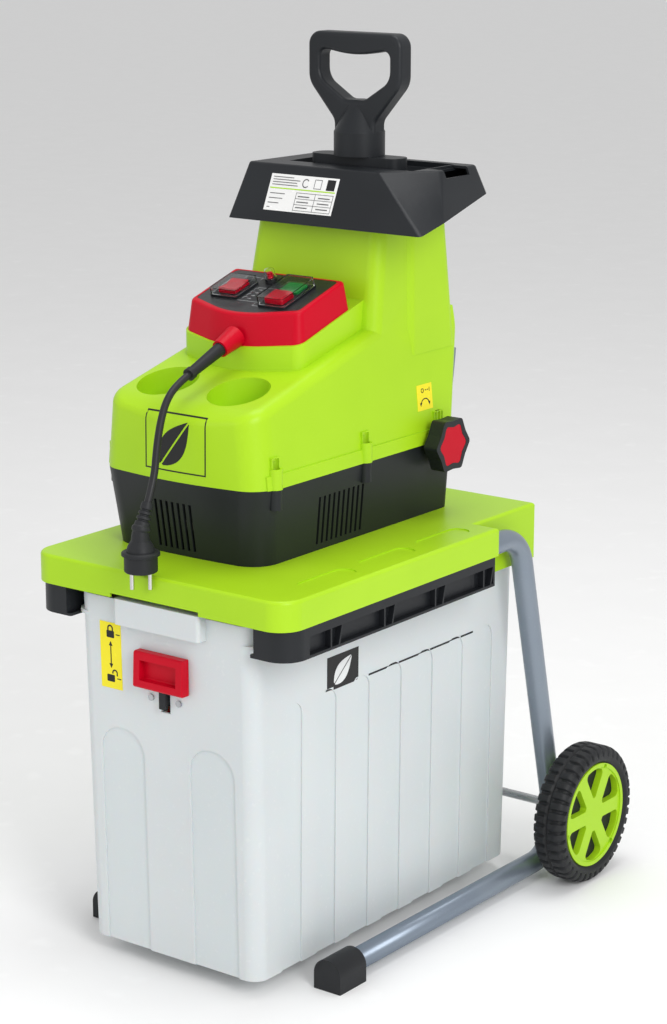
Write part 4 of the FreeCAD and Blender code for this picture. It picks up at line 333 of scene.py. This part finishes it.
# ---------------------------------------------------------------- deck
# The green cover plate, moulded in ABS: a shelf over the rails and a deeper tail behind, with hand
# grips sunk in its right border and a shallow split line on its front.
moulding("deck_cover", "deck_plate", "chassis", lime, 0.0007)

# ---------------------------------------------------------------- rails
# Black channels screwed under the deck. The box's rim slides on their inner ledges, and slanting
# gussets stiffen the open outer side.
for side in ("left", "right"):
    moulding(f"rail_{side}", f"box_rail_{side}", "chassis", black_moulded, 0.0006, join=0.0)

# ---------------------------------------------------------------- collection box
# Pull-out bin of translucent white polypropylene, with shallow upright flutes, a rim that hangs in the
# rails and an apron under the deck's front edge.
milk_white = finish("milk_white", (0.700, 0.735, 0.745), (0.655, 0.692, 0.705), 0.40, grain=700.0,
                    depth=0.00004, patch=4.0, speck=(0.76, 0.78, 0.78), Transmission_Weight=0.10,
                    Subsurface_Weight=0.12, Subsurface_Scale=0.01)
moulding("collection_box", "cuttings_box", "collection_box", milk_white, 0.0008)

# ---------------------------------------------------------------- latch
# Red slider with a finger pocket on a black stem, which lifts the hook inside the box into the deck.
crimson = finish("crimson_moulded", (0.540, 0.0010, 0.016), (0.500, 0.0010, 0.014), 0.34, grain=1500.0,
                 depth=0.00002, speck=(0.58, 0.01, 0.03), Specular_IOR_Level=0.14)
moulding("latch_slider", "latch_grip", "latch", crimson, 0.0006)
moulding("latch_stem", "latch_hook", "latch", black_moulded, 0.0004)

# ---------------------------------------------------------------- lower housing
# Black tub around motor and gears: vents in front and on the right, bosses for the long screws.
moulding("lower_housing", "motor_tub", "chassis", black_moulded, 0.0009)

# ---------------------------------------------------------------- upper housing
# Green shell in one moulding: nose with two carrying pockets, pedestal of the controls, hopper neck.
# A lined well over each long screw closes the recess that its head sits in.
moulding("upper_housing", "green_shell", "chassis", lime, 0.0014, 3, join=0.0)
dressed("rear_plate", powder_grey)

WELL_R, WELL_WALL, WELL_HEIGHT, WELL_DROP, WELL_SWEEP = 0.0052, 0.0014, 0.0125, 0.002, 1.75
WELL_TIP, BOSS_SPACING = 0.0006, 0.04
screws = cad["housing_screws"].data
spots = np.empty(len(screws.vertices) * 3)
screws.vertices.foreach_get("co", spots)
spots = spots.reshape(-1, 3)
head_z = spots[:, 2].max()
heads = spots[spots[:, 2] > head_z - 0.001]
_, group = np.unique(np.round(heads[:, :2] / BOSS_SPACING).astype(int), axis=0, return_inverse=True)
group = group.reshape(-1)
middle_x = (heads[:, 0].min() + heads[:, 0].max()) / 2
wells, well_faces = [], []
for k in range(group.max() + 1):
    spot = heads[group == k]
    x, y = (spot.min(0)[:2] + spot.max(0)[:2]) / 2
    inward = 0.0 if x < middle_x else np.pi
    turn = inward + np.linspace(-WELL_SWEEP, WELL_SWEEP, 25)
    section = [(WELL_R, -WELL_DROP), (WELL_R + WELL_WALL, -WELL_DROP),
               (WELL_R + WELL_WALL, WELL_HEIGHT + WELL_WALL), (WELL_TIP, WELL_HEIGHT + WELL_WALL),
               (WELL_TIP, WELL_HEIGHT), (WELL_R, WELL_HEIGHT)]
    ring = [np.stack([x + r * np.cos(turn), y + r * np.sin(turn), 0 * turn + head_z + h], -1) for r, h in section]
    start = len(wells) * len(section) * len(turn)
    wells.append(np.array(ring).reshape(-1, 3))
    rows = len(turn)
    well_faces += (grid_faces(len(section), rows, True, False)[:, ::-1] + start).tolist()
    well_faces += [[start + r * rows for r in range(len(section))],
                   [start + r * rows + rows - 1 for r in reversed(range(len(section)))]]
piece_from("screw_wells", np.concatenate(wells), well_faces, lime, "chassis", smooth=False)

# ---------------------------------------------------------------- hopper
# Black skirt around the neck, with a square mouth and the funnel and shaft down to the roller.
moulding("hopper_rim", "hopper_skirt", "chassis", black_moulded, 0.0012, 3)
moulding("feed_chute", "feed_funnel", "chassis", black_moulded, 0.0006)

# ---------------------------------------------------------------- plunger
# Push stick with a D grip: the cross bar rests on the funnel's slopes, the paddle hangs below it.
moulding("plunger_handle", "plunger_grip", "plunger", black_moulded, 0.0008)
moulding("plunger_paddle", "plunger_blade", "plunger", black_moulded, 0.0015, 3)

# ---------------------------------------------------------------- controls
# Red bezel on the pedestal, black panel with two covered switches and the overload reset.
clear_cover = finish("clear_cover", (0.97, 0.98, 0.98), (0.95, 0.97, 0.97), 0.07, grain=300.0, depth=0.000004,
                     Transmission_Weight=1.0, IOR=1.18)
moulding("control_bezel", "red_bezel", "chassis", crimson, 0.0010, 3)
satin_black = finish("satin_black", (0.012, 0.013, 0.015), (0.017, 0.018, 0.020), 0.30, grain=2200.0,
                     depth=0.00002, Specular_IOR_Level=0.5)
moulding("control_panel", "panel_plate", "chassis", satin_black, 0.0003)
moulding("direction_switch", "direction_body", "chassis", black_moulded, 0.0003)
moulding("power_switch", "power_body", "chassis", black_moulded, 0.0003)
moulding("direction_rocker", "direction_key", "direction_rocker", crimson, 0.0007, 3)
moulding("stop_button", "stop_key", "stop_button", crimson, 0.0007, 3)
start_green = finish("start_green", (0.012, 0.230, 0.045), (0.010, 0.200, 0.040), 0.32, grain=1500.0,
                     depth=0.00002, Coat_Weight=0.25, Coat_Roughness=0.2)
moulding("start_button", "start_key", "start_button", start_green, 0.0007, 3)
moulding("direction_cover", "direction_dome", "chassis", clear_cover, 0.0005)
moulding("power_cover", "power_dome", "power_cover", clear_cover, 0.0005)
moulding("breaker_body", "reset_collar", "chassis", satin_black, 0.0003)
moulding("breaker_button", "reset_key", "breaker_button", crimson, 0.0005)

# ---------------------------------------------------------------- knob
# Black six-lobed knob with a red star inlay, on the spindle that feeds the pressure plate.
moulding("adjusting_knob", "star_knob", "adjusting_knob", black_moulded, 0.0012, 3)
moulding("knob_inlay", "star_inlay", "adjusting_knob", crimson, 0.0006)

# ---------------------------------------------------------------- cord and plug
# Short black flex, 157 mm long, out of a tapered rubber relief in the bezel's front. It hangs down the
# nose to a moulded two-pin plug with nickel pins.
CORD_D, CORD_LENGTH = 0.008, 0.1567
CORD_ROUTE = [(-0.028, -0.208, 0.6488), (-0.028, -0.22668, 0.64166), (-0.026, -0.2465, 0.6288),
              (-0.0215, -0.2625, 0.6068), (-0.015, -0.2765, 0.5813), (-0.007, -0.2895, 0.55644),
              (-0.007, -0.3005, 0.5318)]
curve = bpy.data.curves.new("flex", "CURVE")
curve.dimensions = "3D"
curve.bevel_depth = CORD_D / 2
curve.bevel_resolution = 8
curve.resolution_u = 16
curve.use_fill_caps = True
line = curve.splines.new("NURBS")
line.points.add(len(CORD_ROUTE) - 1)
line.points.foreach_set("co", [c for p in CORD_ROUTE for c in (*p, 1.0)])
line.order_u = 3
line.use_endpoint_u = True
flex = bpy.data.objects.new("mains_flex", curve)
bpy.context.scene.collection.objects.link(flex)
sheath = finish("cord_sheath", (0.016, 0.016, 0.018), (0.022, 0.022, 0.024), 0.42, grain=1600.0, depth=0.00005)
curve.materials.append(sheath)
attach(flex, "chassis")
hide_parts("mains_cord")
moulding("strain_relief", "rubber_relief", "chassis", rubber_black, 0.0008)
PLUG_GRIP = ((0.0, 0.0061), (0.0245, 0.0082), (0.0262, 0.0098), (0.0290, 0.0100), (0.0310, 0.0088),
             (0.0400, 0.0100), (0.0455, 0.0135), (0.0500, 0.0150))
RIBS, RIB_DEPTH, RIB_HALF = (0.0085, 0.0140, 0.0195), 0.0016, 0.0011
PLUG_DROP, PLUG_BEND, PLUG_HEAD = 0.028, 0.03, 0.0213
plug_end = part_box("plug_body")[0].z
pin_low, pin_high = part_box("plug_pins")
plug_y = (pin_low.y + pin_high.y) / 2


def plug_surface(around=56, along=260):
    """Rounds of varying radius carried down the plug's bent axis.

    Radius: a table from the sleeve's end to the flange, less three rings cut into the sleeve, each
    depth * exp(-(distance / half width) ** 4), then the flange's edge and the disc that holds the pins.
    """
    end = CORD_ROUTE[-1]
    axis = rounded_path([(end[1], end[2], 0), (plug_y, end[2] - PLUG_DROP, PLUG_BEND), (plug_y, plug_end, 0)],
                        0.002)
    run = np.concatenate([[0], np.cumsum(np.linalg.norm(np.diff(axis, axis=0), axis=1))])
    flange = run[-1] - PLUG_HEAD
    table = np.array(PLUG_GRIP + ((flange - 0.0002, 0.0152), (flange, 0.0195), (flange + 0.0008, 0.0203),
                                  (flange + 0.0032, 0.0203), (flange + 0.0042, 0.0176),
                                  (run[-1] - 0.0012, 0.0176), (run[-1], 0.0164)))
    s_run = np.unique(np.concatenate([np.linspace(0, run[-1], along), table[:, 0]]))
    s_run = s_run[(s_run >= 0) & (s_run <= run[-1])]
    radius = np.interp(s_run, table[:, 0], table[:, 1])
    rings = np.exp(-((s_run[:, None] - np.array(RIBS)) / RIB_HALF) ** 4).sum(1)
    radius = radius - RIB_DEPTH * rings
    y, z = np.interp(s_run, run, axis[:, 0]), np.interp(s_run, run, axis[:, 1])
    path = np.stack([y, z], -1)
    points = tube_surface(path, end[0], radius[:, None], around)
    ends = len(s_run)
    caps = [list(range(around - 1, -1, -1)), list(range((ends - 1) * around, ends * around))]
    return points, grid_faces(ends, around).tolist() + caps


points, faces = plug_surface()
plug = piece_from("moulded_plug", points, faces, rubber_black, "chassis")
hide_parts("plug_body")
nickel = finish("nickel", (0.66, 0.65, 0.63), (0.58, 0.57, 0.55), 0.2, grain=800.0, depth=0.00001, Metallic=1.0)
dressed("plug_pins", nickel)

# ---------------------------------------------------------------- drive
# Motor, gears, roller and plate inside the housings: stacked steel, cast aluminium and bronze rings.
laminations = finish("laminations", (0.16, 0.16, 0.17), (0.22, 0.18, 0.14), 0.5, grain=500.0, depth=0.0001,
                     stretch=(1.0, 12.0, 1.0), Metallic=0.7)
gear_steel = finish("gear_steel", (0.30, 0.30, 0.31), (0.24, 0.24, 0.26), 0.3, grain=700.0, depth=0.00002,
                    Metallic=1.0)
cast_metal = finish("cast_metal", (0.46, 0.47, 0.48), (0.38, 0.39, 0.41), 0.5, grain=500.0, depth=0.0002,
                    Metallic=0.9)
bronze = finish("bronze", (0.42, 0.24, 0.09), (0.34, 0.19, 0.07), 0.4, grain=600.0, depth=0.00005, Metallic=1.0)
can_white = finish("can_white", (0.62, 0.61, 0.57), (0.56, 0.55, 0.52), 0.4, grain=600.0, depth=0.00003)
for coat, names in ((laminations, ("motor_stator", "motor_rotor")),
                    (gear_steel, ("intermediate_gear", "roller_gear", "cutting_roller")),
                    (cast_metal, ("gearbox_case", "cutter_housing", "pressure_plate")),
                    (bronze, ("shaft_bearings",)), (can_white, ("run_capacitor",)),
                    (black_moulded, ("motor_fan", "safety_switch"))):
    for node in names:
        dressed(node, coat)

# ---------------------------------------------------------------- latch label
# Yellow vinyl sticker on the box's front wall beside the latch, printed in black with a closed padlock,
# an arrow both ways and an open padlock.
INK = 0.0002
FRONT_WALL = ((1, 0, 0), (0, 0, 1), 0.36)
RIGHT_WALL = ((0, 1, 0), (0, 0, 1), 0.2)
UPPER_FACE = ((1, 0, 0), (0, 1, 0), 0.9)


def strip(path, width, closed=False):
    """Ribbon: every point of a line moved half the width to each side, mitred at its corners."""
    p = np.asarray(path, float)
    run = np.roll(p, -1, 0) - p
    if not closed:
        run[-1] = run[-2]
    run /= np.linalg.norm(run, axis=1)[:, None]
    back = np.roll(run, 1, 0)
    if not closed:
        back[0] = run[0]
    side, side_back = run[:, ::-1] * [-1, 1], back[:, ::-1] * [-1, 1]
    mitre = side + side_back
    mitre /= np.sum(mitre * side, axis=1)[:, None]
    n = len(p)
    k = np.arange(n if closed else n - 1)
    after = (k + 1) % n
    return np.concatenate([p - mitre * width / 2, p + mitre * width / 2]), \
        np.stack([k, after, n + after, n + k], -1).tolist()


def arc(centre, radius, start, end, count=24):
    """Points on a circle between two angles in degrees."""
    t = np.radians(np.linspace(start, end, count))
    return np.stack([centre[0] + radius * np.cos(t), centre[1] + radius * np.sin(t)], -1)


def filled(outline):
    """One face inside an outline that runs anticlockwise."""
    return np.asarray(outline, float), [list(range(len(outline)))]


def box_outline(u0, u1, v0, v1):
    """Four corners of a rectangle, anticlockwise."""
    return [(u0, v0), (u1, v0), (u1, v1), (u0, v1)]


def printed(name, shapes, across, up, depth, onto, coat, body, slot, thick=INK):
    """Artwork drawn on a plane outside a surface, moved onto it along the plane's normal, with a thickness.

    The plane is point = across * u + up * v + depth * (across x up), from one of the three above.
    """
    counts = np.cumsum([0] + [len(points) for points, _ in shapes])
    flat = np.concatenate([points for points, _ in shapes])
    faces = [[int(start) + k for k in face] for start, (_, some) in zip(counts, shapes) for face in some]
    across, up, normal = np.array(across, float), np.array(up, float), np.cross(across, up)
    points = flat[:, :1] * across + flat[:, 1:] * up + depth * normal
    piece = piece_from(name, points, faces, coat, body, smooth=False)
    press = piece.modifiers.new("pressed_on", "SHRINKWRAP")
    press.wrap_method = "PROJECT"
    press.target = onto
    press.use_project_x, press.use_project_y, press.use_project_z = (bool(c) for c in np.abs(normal) > 0.5)
    press.use_negative_direction, press.use_positive_direction = normal.sum() > 0, normal.sum() < 0
    laid = piece.evaluated_get(bpy.context.evaluated_depsgraph_get())
    piece.data = bpy.data.meshes.new_from_object(laid)
    piece.modifiers.clear()
    ink = piece.modifiers.new("ink", "SOLIDIFY")
    ink.thickness, ink.offset = thick, 1.0
    return piece


def padlock(u, v, size, open_shift=0.0):
    """Padlock: a rounded body with a bow, which stands to one side when it is open."""
    body = np.concatenate([arc((u + a * size * 0.62, v + b * size * 0.42), size * 0.16, turn, turn + 90, 5)
                           for a, b, turn in ((1, -1, -90), (1, 1, 0), (-1, 1, 90), (-1, -1, 180))])
    foot = v + size * 0.5
    centre = (u + open_shift, foot + size * 0.45)
    bow = np.concatenate([[(centre[0] + size * 0.46, foot)], arc(centre, size * 0.46, 0, 180, 14),
                          [(centre[0] - size * 0.46, foot + (size * 0.3 if open_shift else 0))]])
    return [filled(body), strip(bow, size * 0.24)]


sticker_yellow = finish("sticker_yellow", (0.870, 0.760, 0.020), (0.840, 0.730, 0.018), 0.35, grain=900.0,
                        depth=0.00001)
print_black = finish("print_black", (0.012, 0.012, 0.013), (0.018, 0.018, 0.018), 0.45, grain=900.0,
                     depth=0.00001)
dressed("latch_label", sticker_yellow)
low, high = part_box("latch_label")
mid = (low.x + high.x) / 2
head = 0.0052
shaft = [(mid, high.z - 0.046), (mid, high.z - 0.026)]
shapes = padlock(mid, high.z - 0.013, 0.0068) + padlock(mid - 0.001, high.z - 0.0625, 0.0068, 0.0058)
shapes += [strip(shaft, 0.0013),
           filled([(mid - head / 2, shaft[1][1]), (mid + head / 2, shaft[1][1]), (mid, shaft[1][1] + head)]),
           filled([(mid + head / 2, shaft[0][1]), (mid - head / 2, shaft[0][1]), (mid, shaft[0][1] - head)])]
shapes += [filled(box_outline(high.x - 0.007, high.x - 0.0015, v, v + 0.0011))
           for v in (high.z - 0.013, high.z - 0.0625)]
printed("latch_print", shapes, *FRONT_WALL, cad["latch_label"], print_black,
        "collection_box", "yellow_label")

# ---------------------------------------------------------------- side label
# Yellow sticker above the knob, with a gear and the two ways that the knob can be turned.
dressed("side_label", sticker_yellow)
low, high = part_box("side_label")
mid, foot = (low.y + high.y) / 2, low.z
sweep = arc((mid, foot + 0.004), 0.0088, 152, 28, 26)
shapes = [strip(sweep, 0.0012)]
for tip, lean in ((sweep[0], -1), (sweep[-1], 1)):
    shapes.append(filled([tip + [-0.0020, 0.0006], tip + [lean * 0.0008, -0.0036], tip + [0.0020, 0.0006]]))
shapes += [strip(arc((mid - 0.004, high.z - 0.0068), 0.0022, 0, 342, 20), 0.0009, closed=True),
           filled(box_outline(mid + 0.001, mid + 0.0035, high.z - 0.0073, high.z - 0.0063)),
           filled(box_outline(mid + 0.005, mid + 0.0075, high.z - 0.0073, high.z - 0.0063)),
           filled(box_outline(mid + 0.009, mid + 0.0098, high.z - 0.0090, high.z - 0.0045))]
printed("turning_print", shapes, *RIGHT_WALL, cad["side_label"], print_black, "chassis",
        "yellow_label")

# ---------------------------------------------------------------- rating label
# White foil on the hopper's front slope: grey rows stand for its text, with a lime rule, two marks and a
# small table. It carries no words.
sticker_white = finish("sticker_white", (0.80, 0.80, 0.79), (0.76, 0.76, 0.75), 0.35, grain=900.0, depth=0.00001)
print_grey = finish("print_grey", (0.10, 0.10, 0.105), (0.13, 0.13, 0.13), 0.5, grain=900.0, depth=0.00001)
dressed("rating_label", sticker_white)
low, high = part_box("rating_label")
wide, tall = high.x - low.x, high.z - low.z


def on_label(u, v):
    """Place on the label from shares of its width and height."""
    return (low.x + wide * u, low.z + tall * v)


def row(u0, u1, v, height=0.0008):
    """One printed row."""
    return filled(box_outline(on_label(u0, v)[0], on_label(u1, v)[0], on_label(0, v)[1],
                              on_label(0, v)[1] + height))


shapes = [row(0.04, end, v) for end, v in ((0.34, 0.91), (0.44, 0.84), (0.40, 0.77), (0.42, 0.70))]
shapes += [row(0.04, end, v) for end, v in ((0.26, 0.46), (0.24, 0.33), (0.20, 0.20), (0.08, 0.08))]
shapes += [row(u, u + 0.17, v, 0.0011) for u in (0.46, 0.76) for v in (0.42, 0.27, 0.12)]
shapes += [strip([on_label(u, v) for u, v in ((0.43, 0.53), (0.43, 0.05), (0.97, 0.05), (0.97, 0.53))], 0.0005,
                 closed=True), strip([on_label(0.71, 0.05), on_label(0.71, 0.53)], 0.0005),
           strip([on_label(0.43, 0.37), on_label(0.97, 0.37)], 0.0005),
           strip([on_label(0.43, 0.21), on_label(0.97, 0.21)], 0.0005)]
shapes += [strip([on_label(u, v) for u, v in ((0.66, 0.68), (0.66, 0.92), (0.76, 0.92), (0.76, 0.68))], 0.0006,
                 closed=True), strip(arc(on_label(0.53, 0.80), 0.0042, 40, 320, 20), 0.0011)]
printed("rating_print", shapes, *FRONT_WALL, cad["rating_label"], print_grey, "chassis",
        "white_label")
shapes = [row(0.02, 0.98, 0.60, 0.0012)]
printed("rating_rule", shapes, *FRONT_WALL, cad["rating_label"], lime, "chassis", "lime_plastic")
shapes = [filled([on_label(u, v) for u, v in ((0.84, 0.66), (0.96, 0.66), (0.96, 0.95), (0.84, 0.95))])]
printed("rating_mark", shapes, *FRONT_WALL, cad["rating_label"], print_black, "chassis",
        "black_plastic")

# ---------------------------------------------------------------- nose and box badges
# Pad-printed emblems: a leaf in a square outline on the housing's nose, and on the box's right wall a
# dark square with a light leaf and a plain underline.
print_white = finish("print_white", (0.74, 0.76, 0.76), (0.70, 0.72, 0.72), 0.45, grain=900.0, depth=0.00001)


def patch(across, up):
    """Fine grid of faces over two arrays of coordinates, which lets a print follow a bowed surface."""
    rows, columns = across.shape
    return np.stack([across, up], -1).reshape(-1, 2), grid_faces(rows, columns, False, False).tolist()


def leaf(u, v, length, width, lean):
    """Two halves of a leaf either side of a straight vein, each bounded by half a sine wave, turned to lean."""
    t, s = np.meshgrid(np.linspace(0.02, 0.98, 17), np.linspace(0, 1, 6))
    along, bulge = (t - 0.5) * length, np.sin(np.pi * t ** 0.8) * width / 2 * s
    turn = np.array([[math.cos(lean), math.sin(lean)], [-math.sin(lean), math.cos(lean)]])
    vein = 0.035 * width
    halves = []
    for sign in (1, -1):
        points, faces = patch(along, sign * (bulge + vein))
        halves.append((points @ turn + [u, v], [face[::sign] for face in faces]))
    return halves


def finely(corners, step=0.004):
    """Closed outline with a point at least every step."""
    p = np.asarray(corners, float)
    q = np.roll(p, -1, 0)
    parts = [a + (b - a) * np.linspace(0, 1, max(2, int(np.linalg.norm(b - a) / step)), endpoint=False)[:, None]
             for a, b in zip(p, q)]
    return np.concatenate(parts)


shell, bin_wall = bpy.data.objects["green_shell"], bpy.data.objects["cuttings_box"]
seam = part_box("lower_housing")[1].z
outline = finely(box_outline(-0.069, 0.012, seam + 0.011, seam + 0.072))
shapes = [strip(outline, 0.0015, closed=True)] + leaf(-0.0285, seam + 0.041, 0.062, 0.030, math.radians(52))
shapes.append(strip([(-0.052, seam + 0.0165), (-0.046, seam + 0.0215)], 0.0022))
printed("nose_emblem", shapes, *FRONT_WALL, shell, print_black, "chassis", "black_plastic")
RULE_DROP = 0.1075
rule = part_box("collection_box")[1].z - RULE_DROP
dark_square = patch(*np.meshgrid(np.linspace(-0.162, -0.106, 15), np.linspace(rule + 0.002, rule + 0.040, 11)))
underline = patch(*np.meshgrid(np.linspace(-0.087, 0.115, 51), [rule + 0.0016, rule + 0.0038]))
printed("box_emblem", [dark_square, underline], *RIGHT_WALL, bin_wall, print_black, "collection_box",
        "black_plastic")
printed("box_leaf", leaf(-0.134, rule + 0.021, 0.040, 0.020, math.radians(40)), *RIGHT_WALL, bin_wall,
        print_white, "collection_box", "white_label", thick=2 * INK)

# ---------------------------------------------------------------- panel print and reset boot
# Thin light lines on the black panel show which way each switch works. A clear soft boot keeps dust off
# the overload reset.
LINE = 0.0006
switch_low, switch_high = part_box("direction_switch")
power_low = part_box("power_switch")[0]
between0, between1 = switch_high.x + 0.0015, power_low.x - 0.0030
rear, front = switch_high.y + 0.004, switch_low.y - 0.004
shapes = [strip([(between0, front + 0.004), (between1, front + 0.004), (between1, rear - 0.016),
                 (between0 + 0.004, rear - 0.016)], LINE),
          strip([(switch_low.x + 0.012, rear), (switch_low.x + 0.012, rear + 0.005),
                 (switch_high.x - 0.004, rear + 0.005), (switch_high.x - 0.004, rear)], LINE),
          strip([(power_low.x + 0.004, front - 0.004), (power_low.x - 0.007, front - 0.004),
                 (power_low.x - 0.007, front + 0.002)], LINE)]
for k, y in enumerate(np.linspace(front + 0.009, rear - 0.022, 4)):
    lean = -1 if k % 2 else 1
    shapes += [strip([(between0 + 0.003, y), (between0 + 0.003, y + 0.004), (between0 + 0.007, y + 0.004)], LINE),
               strip([(between0 + 0.009, y + 0.001), (between0 + 0.012, y + 0.001)], LINE),
               filled([(between0 + 0.012, y - 0.0004), (between0 + 0.0145, y + 0.001),
                       (between0 + 0.012, y + 0.0024)])]
print_line = finish("print_line", (0.42, 0.43, 0.44), (0.38, 0.39, 0.40), 0.5, grain=900.0, depth=0.00001)
printed("panel_print", shapes, *UPPER_FACE, bpy.data.objects["panel_plate"], print_line, "chassis",
        "white_label", thick=INK / 2)

press = next(j for j in frame["record"]["behaviour"]["joints"] if j["name"] == "breaker_press")
out = -np.array(press["axis"])
side_one = np.array([1.0, 0.0, 0.0])
side_two = np.cross(out, side_one)
key_low, key_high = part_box("breaker_button")
base = (np.array(key_low) + np.array(key_high)) / 2 - out * 0.0025
BOOT_SIDES, BOOT_WALL = 40, 0.0005
BOOT = np.array([(0.0071, 0.0035), (0.0071, 0.0055), (0.0060, 0.0066), (0.0058, 0.0130), (0.0054, 0.0146),
                 (0.0042, 0.0155), (0.0022, 0.0159), (0.0002, 0.0160)])
around = np.linspace(0, 2 * np.pi, BOOT_SIDES, endpoint=False)
ring = np.cos(around)[:, None] * side_one + np.sin(around)[:, None] * side_two
points = (base + BOOT[:, 1, None, None] * out + BOOT[:, 0, None, None] * ring).reshape(-1, 3)
crown = list(range((len(BOOT) - 1) * BOOT_SIDES, len(BOOT) * BOOT_SIDES))
boot = piece_from("reset_boot", points, grid_faces(len(BOOT), BOOT_SIDES).tolist() + [crown], clear_cover,
                  "chassis")
wall = boot.modifiers.new("wall", "SOLIDIFY")
wall.thickness, wall.offset = BOOT_WALL, -1.0

# ---------------------------------------------------------------- floor, light and camera
# A pale seamless floor under an even white sky, a large soft light on the right, a weak one in front
# and one above.
floor_white = finish("floor_white", (0.93, 0.93, 0.93), (0.92, 0.92, 0.92), 0.75, grain=60.0, depth=0.00001)
floor_mesh = bpy.data.meshes.new("floor")
REACH = 60
floor_mesh.from_pydata([(-REACH, -REACH, 0), (REACH, -REACH, 0), (REACH, REACH, 0), (-REACH, REACH, 0)], [],
                       [(0, 1, 2, 3)])
floor_mesh.materials.append(floor_white)
floor = bpy.data.objects.new("floor", floor_mesh)
bpy.context.scene.collection.objects.link(floor)

world = bpy.data.worlds.new("studio")
bpy.context.scene.world = world
world.use_nodes = True
world.node_tree.nodes["Background"].inputs["Color"].default_value = (1.0, 1.0, 1.0, 1.0)
world.node_tree.nodes["Background"].inputs["Strength"].default_value = 0.66
bpy.context.scene.view_settings.view_transform = "Standard"


def soft_light(name, place, aim, size, power):
    """Large area light turned towards a point."""
    data = bpy.data.lights.new(name, "AREA")
    data.shape = "RECTANGLE"
    data.size, data.size_y = size
    data.energy = power
    lamp = bpy.data.objects.new(name, data)
    bpy.context.scene.collection.objects.link(lamp)
    lamp.location = place
    lamp.rotation_euler = (Vector(aim) - Vector(place)).to_track_quat("-Z", "Y").to_euler()


soft_light("key", (3.0, -1.6, 2.2), (0, 0, 0.5), (1.4, 2.0), 70)
soft_light("front", (-1.2, -3.4, 1.7), (0, 0, 0.5), (2.0, 1.6), 12)
soft_light("top", (0.2, 0.2, 3.2), (0, 0, 0.6), (1.6, 1.6), 30)

SENSOR, FOCAL_LENGTH = 36, 2607.17 / 1024
camera_data = bpy.data.cameras.new("camera")
camera_data.lens = FOCAL_LENGTH * SENSOR
camera_data.sensor_width = SENSOR
camera = bpy.data.objects.new("camera", camera_data)
bpy.context.scene.collection.objects.link(camera)
camera.location = (1.7195, -2.2693, 1.1842)
azimuth, pitch = math.radians(37.05), math.radians(14.23)
camera.rotation_euler = (math.pi / 2 - pitch, 0, azimuth)
camera_data.clip_end = 50
bpy.context.scene.camera = camera
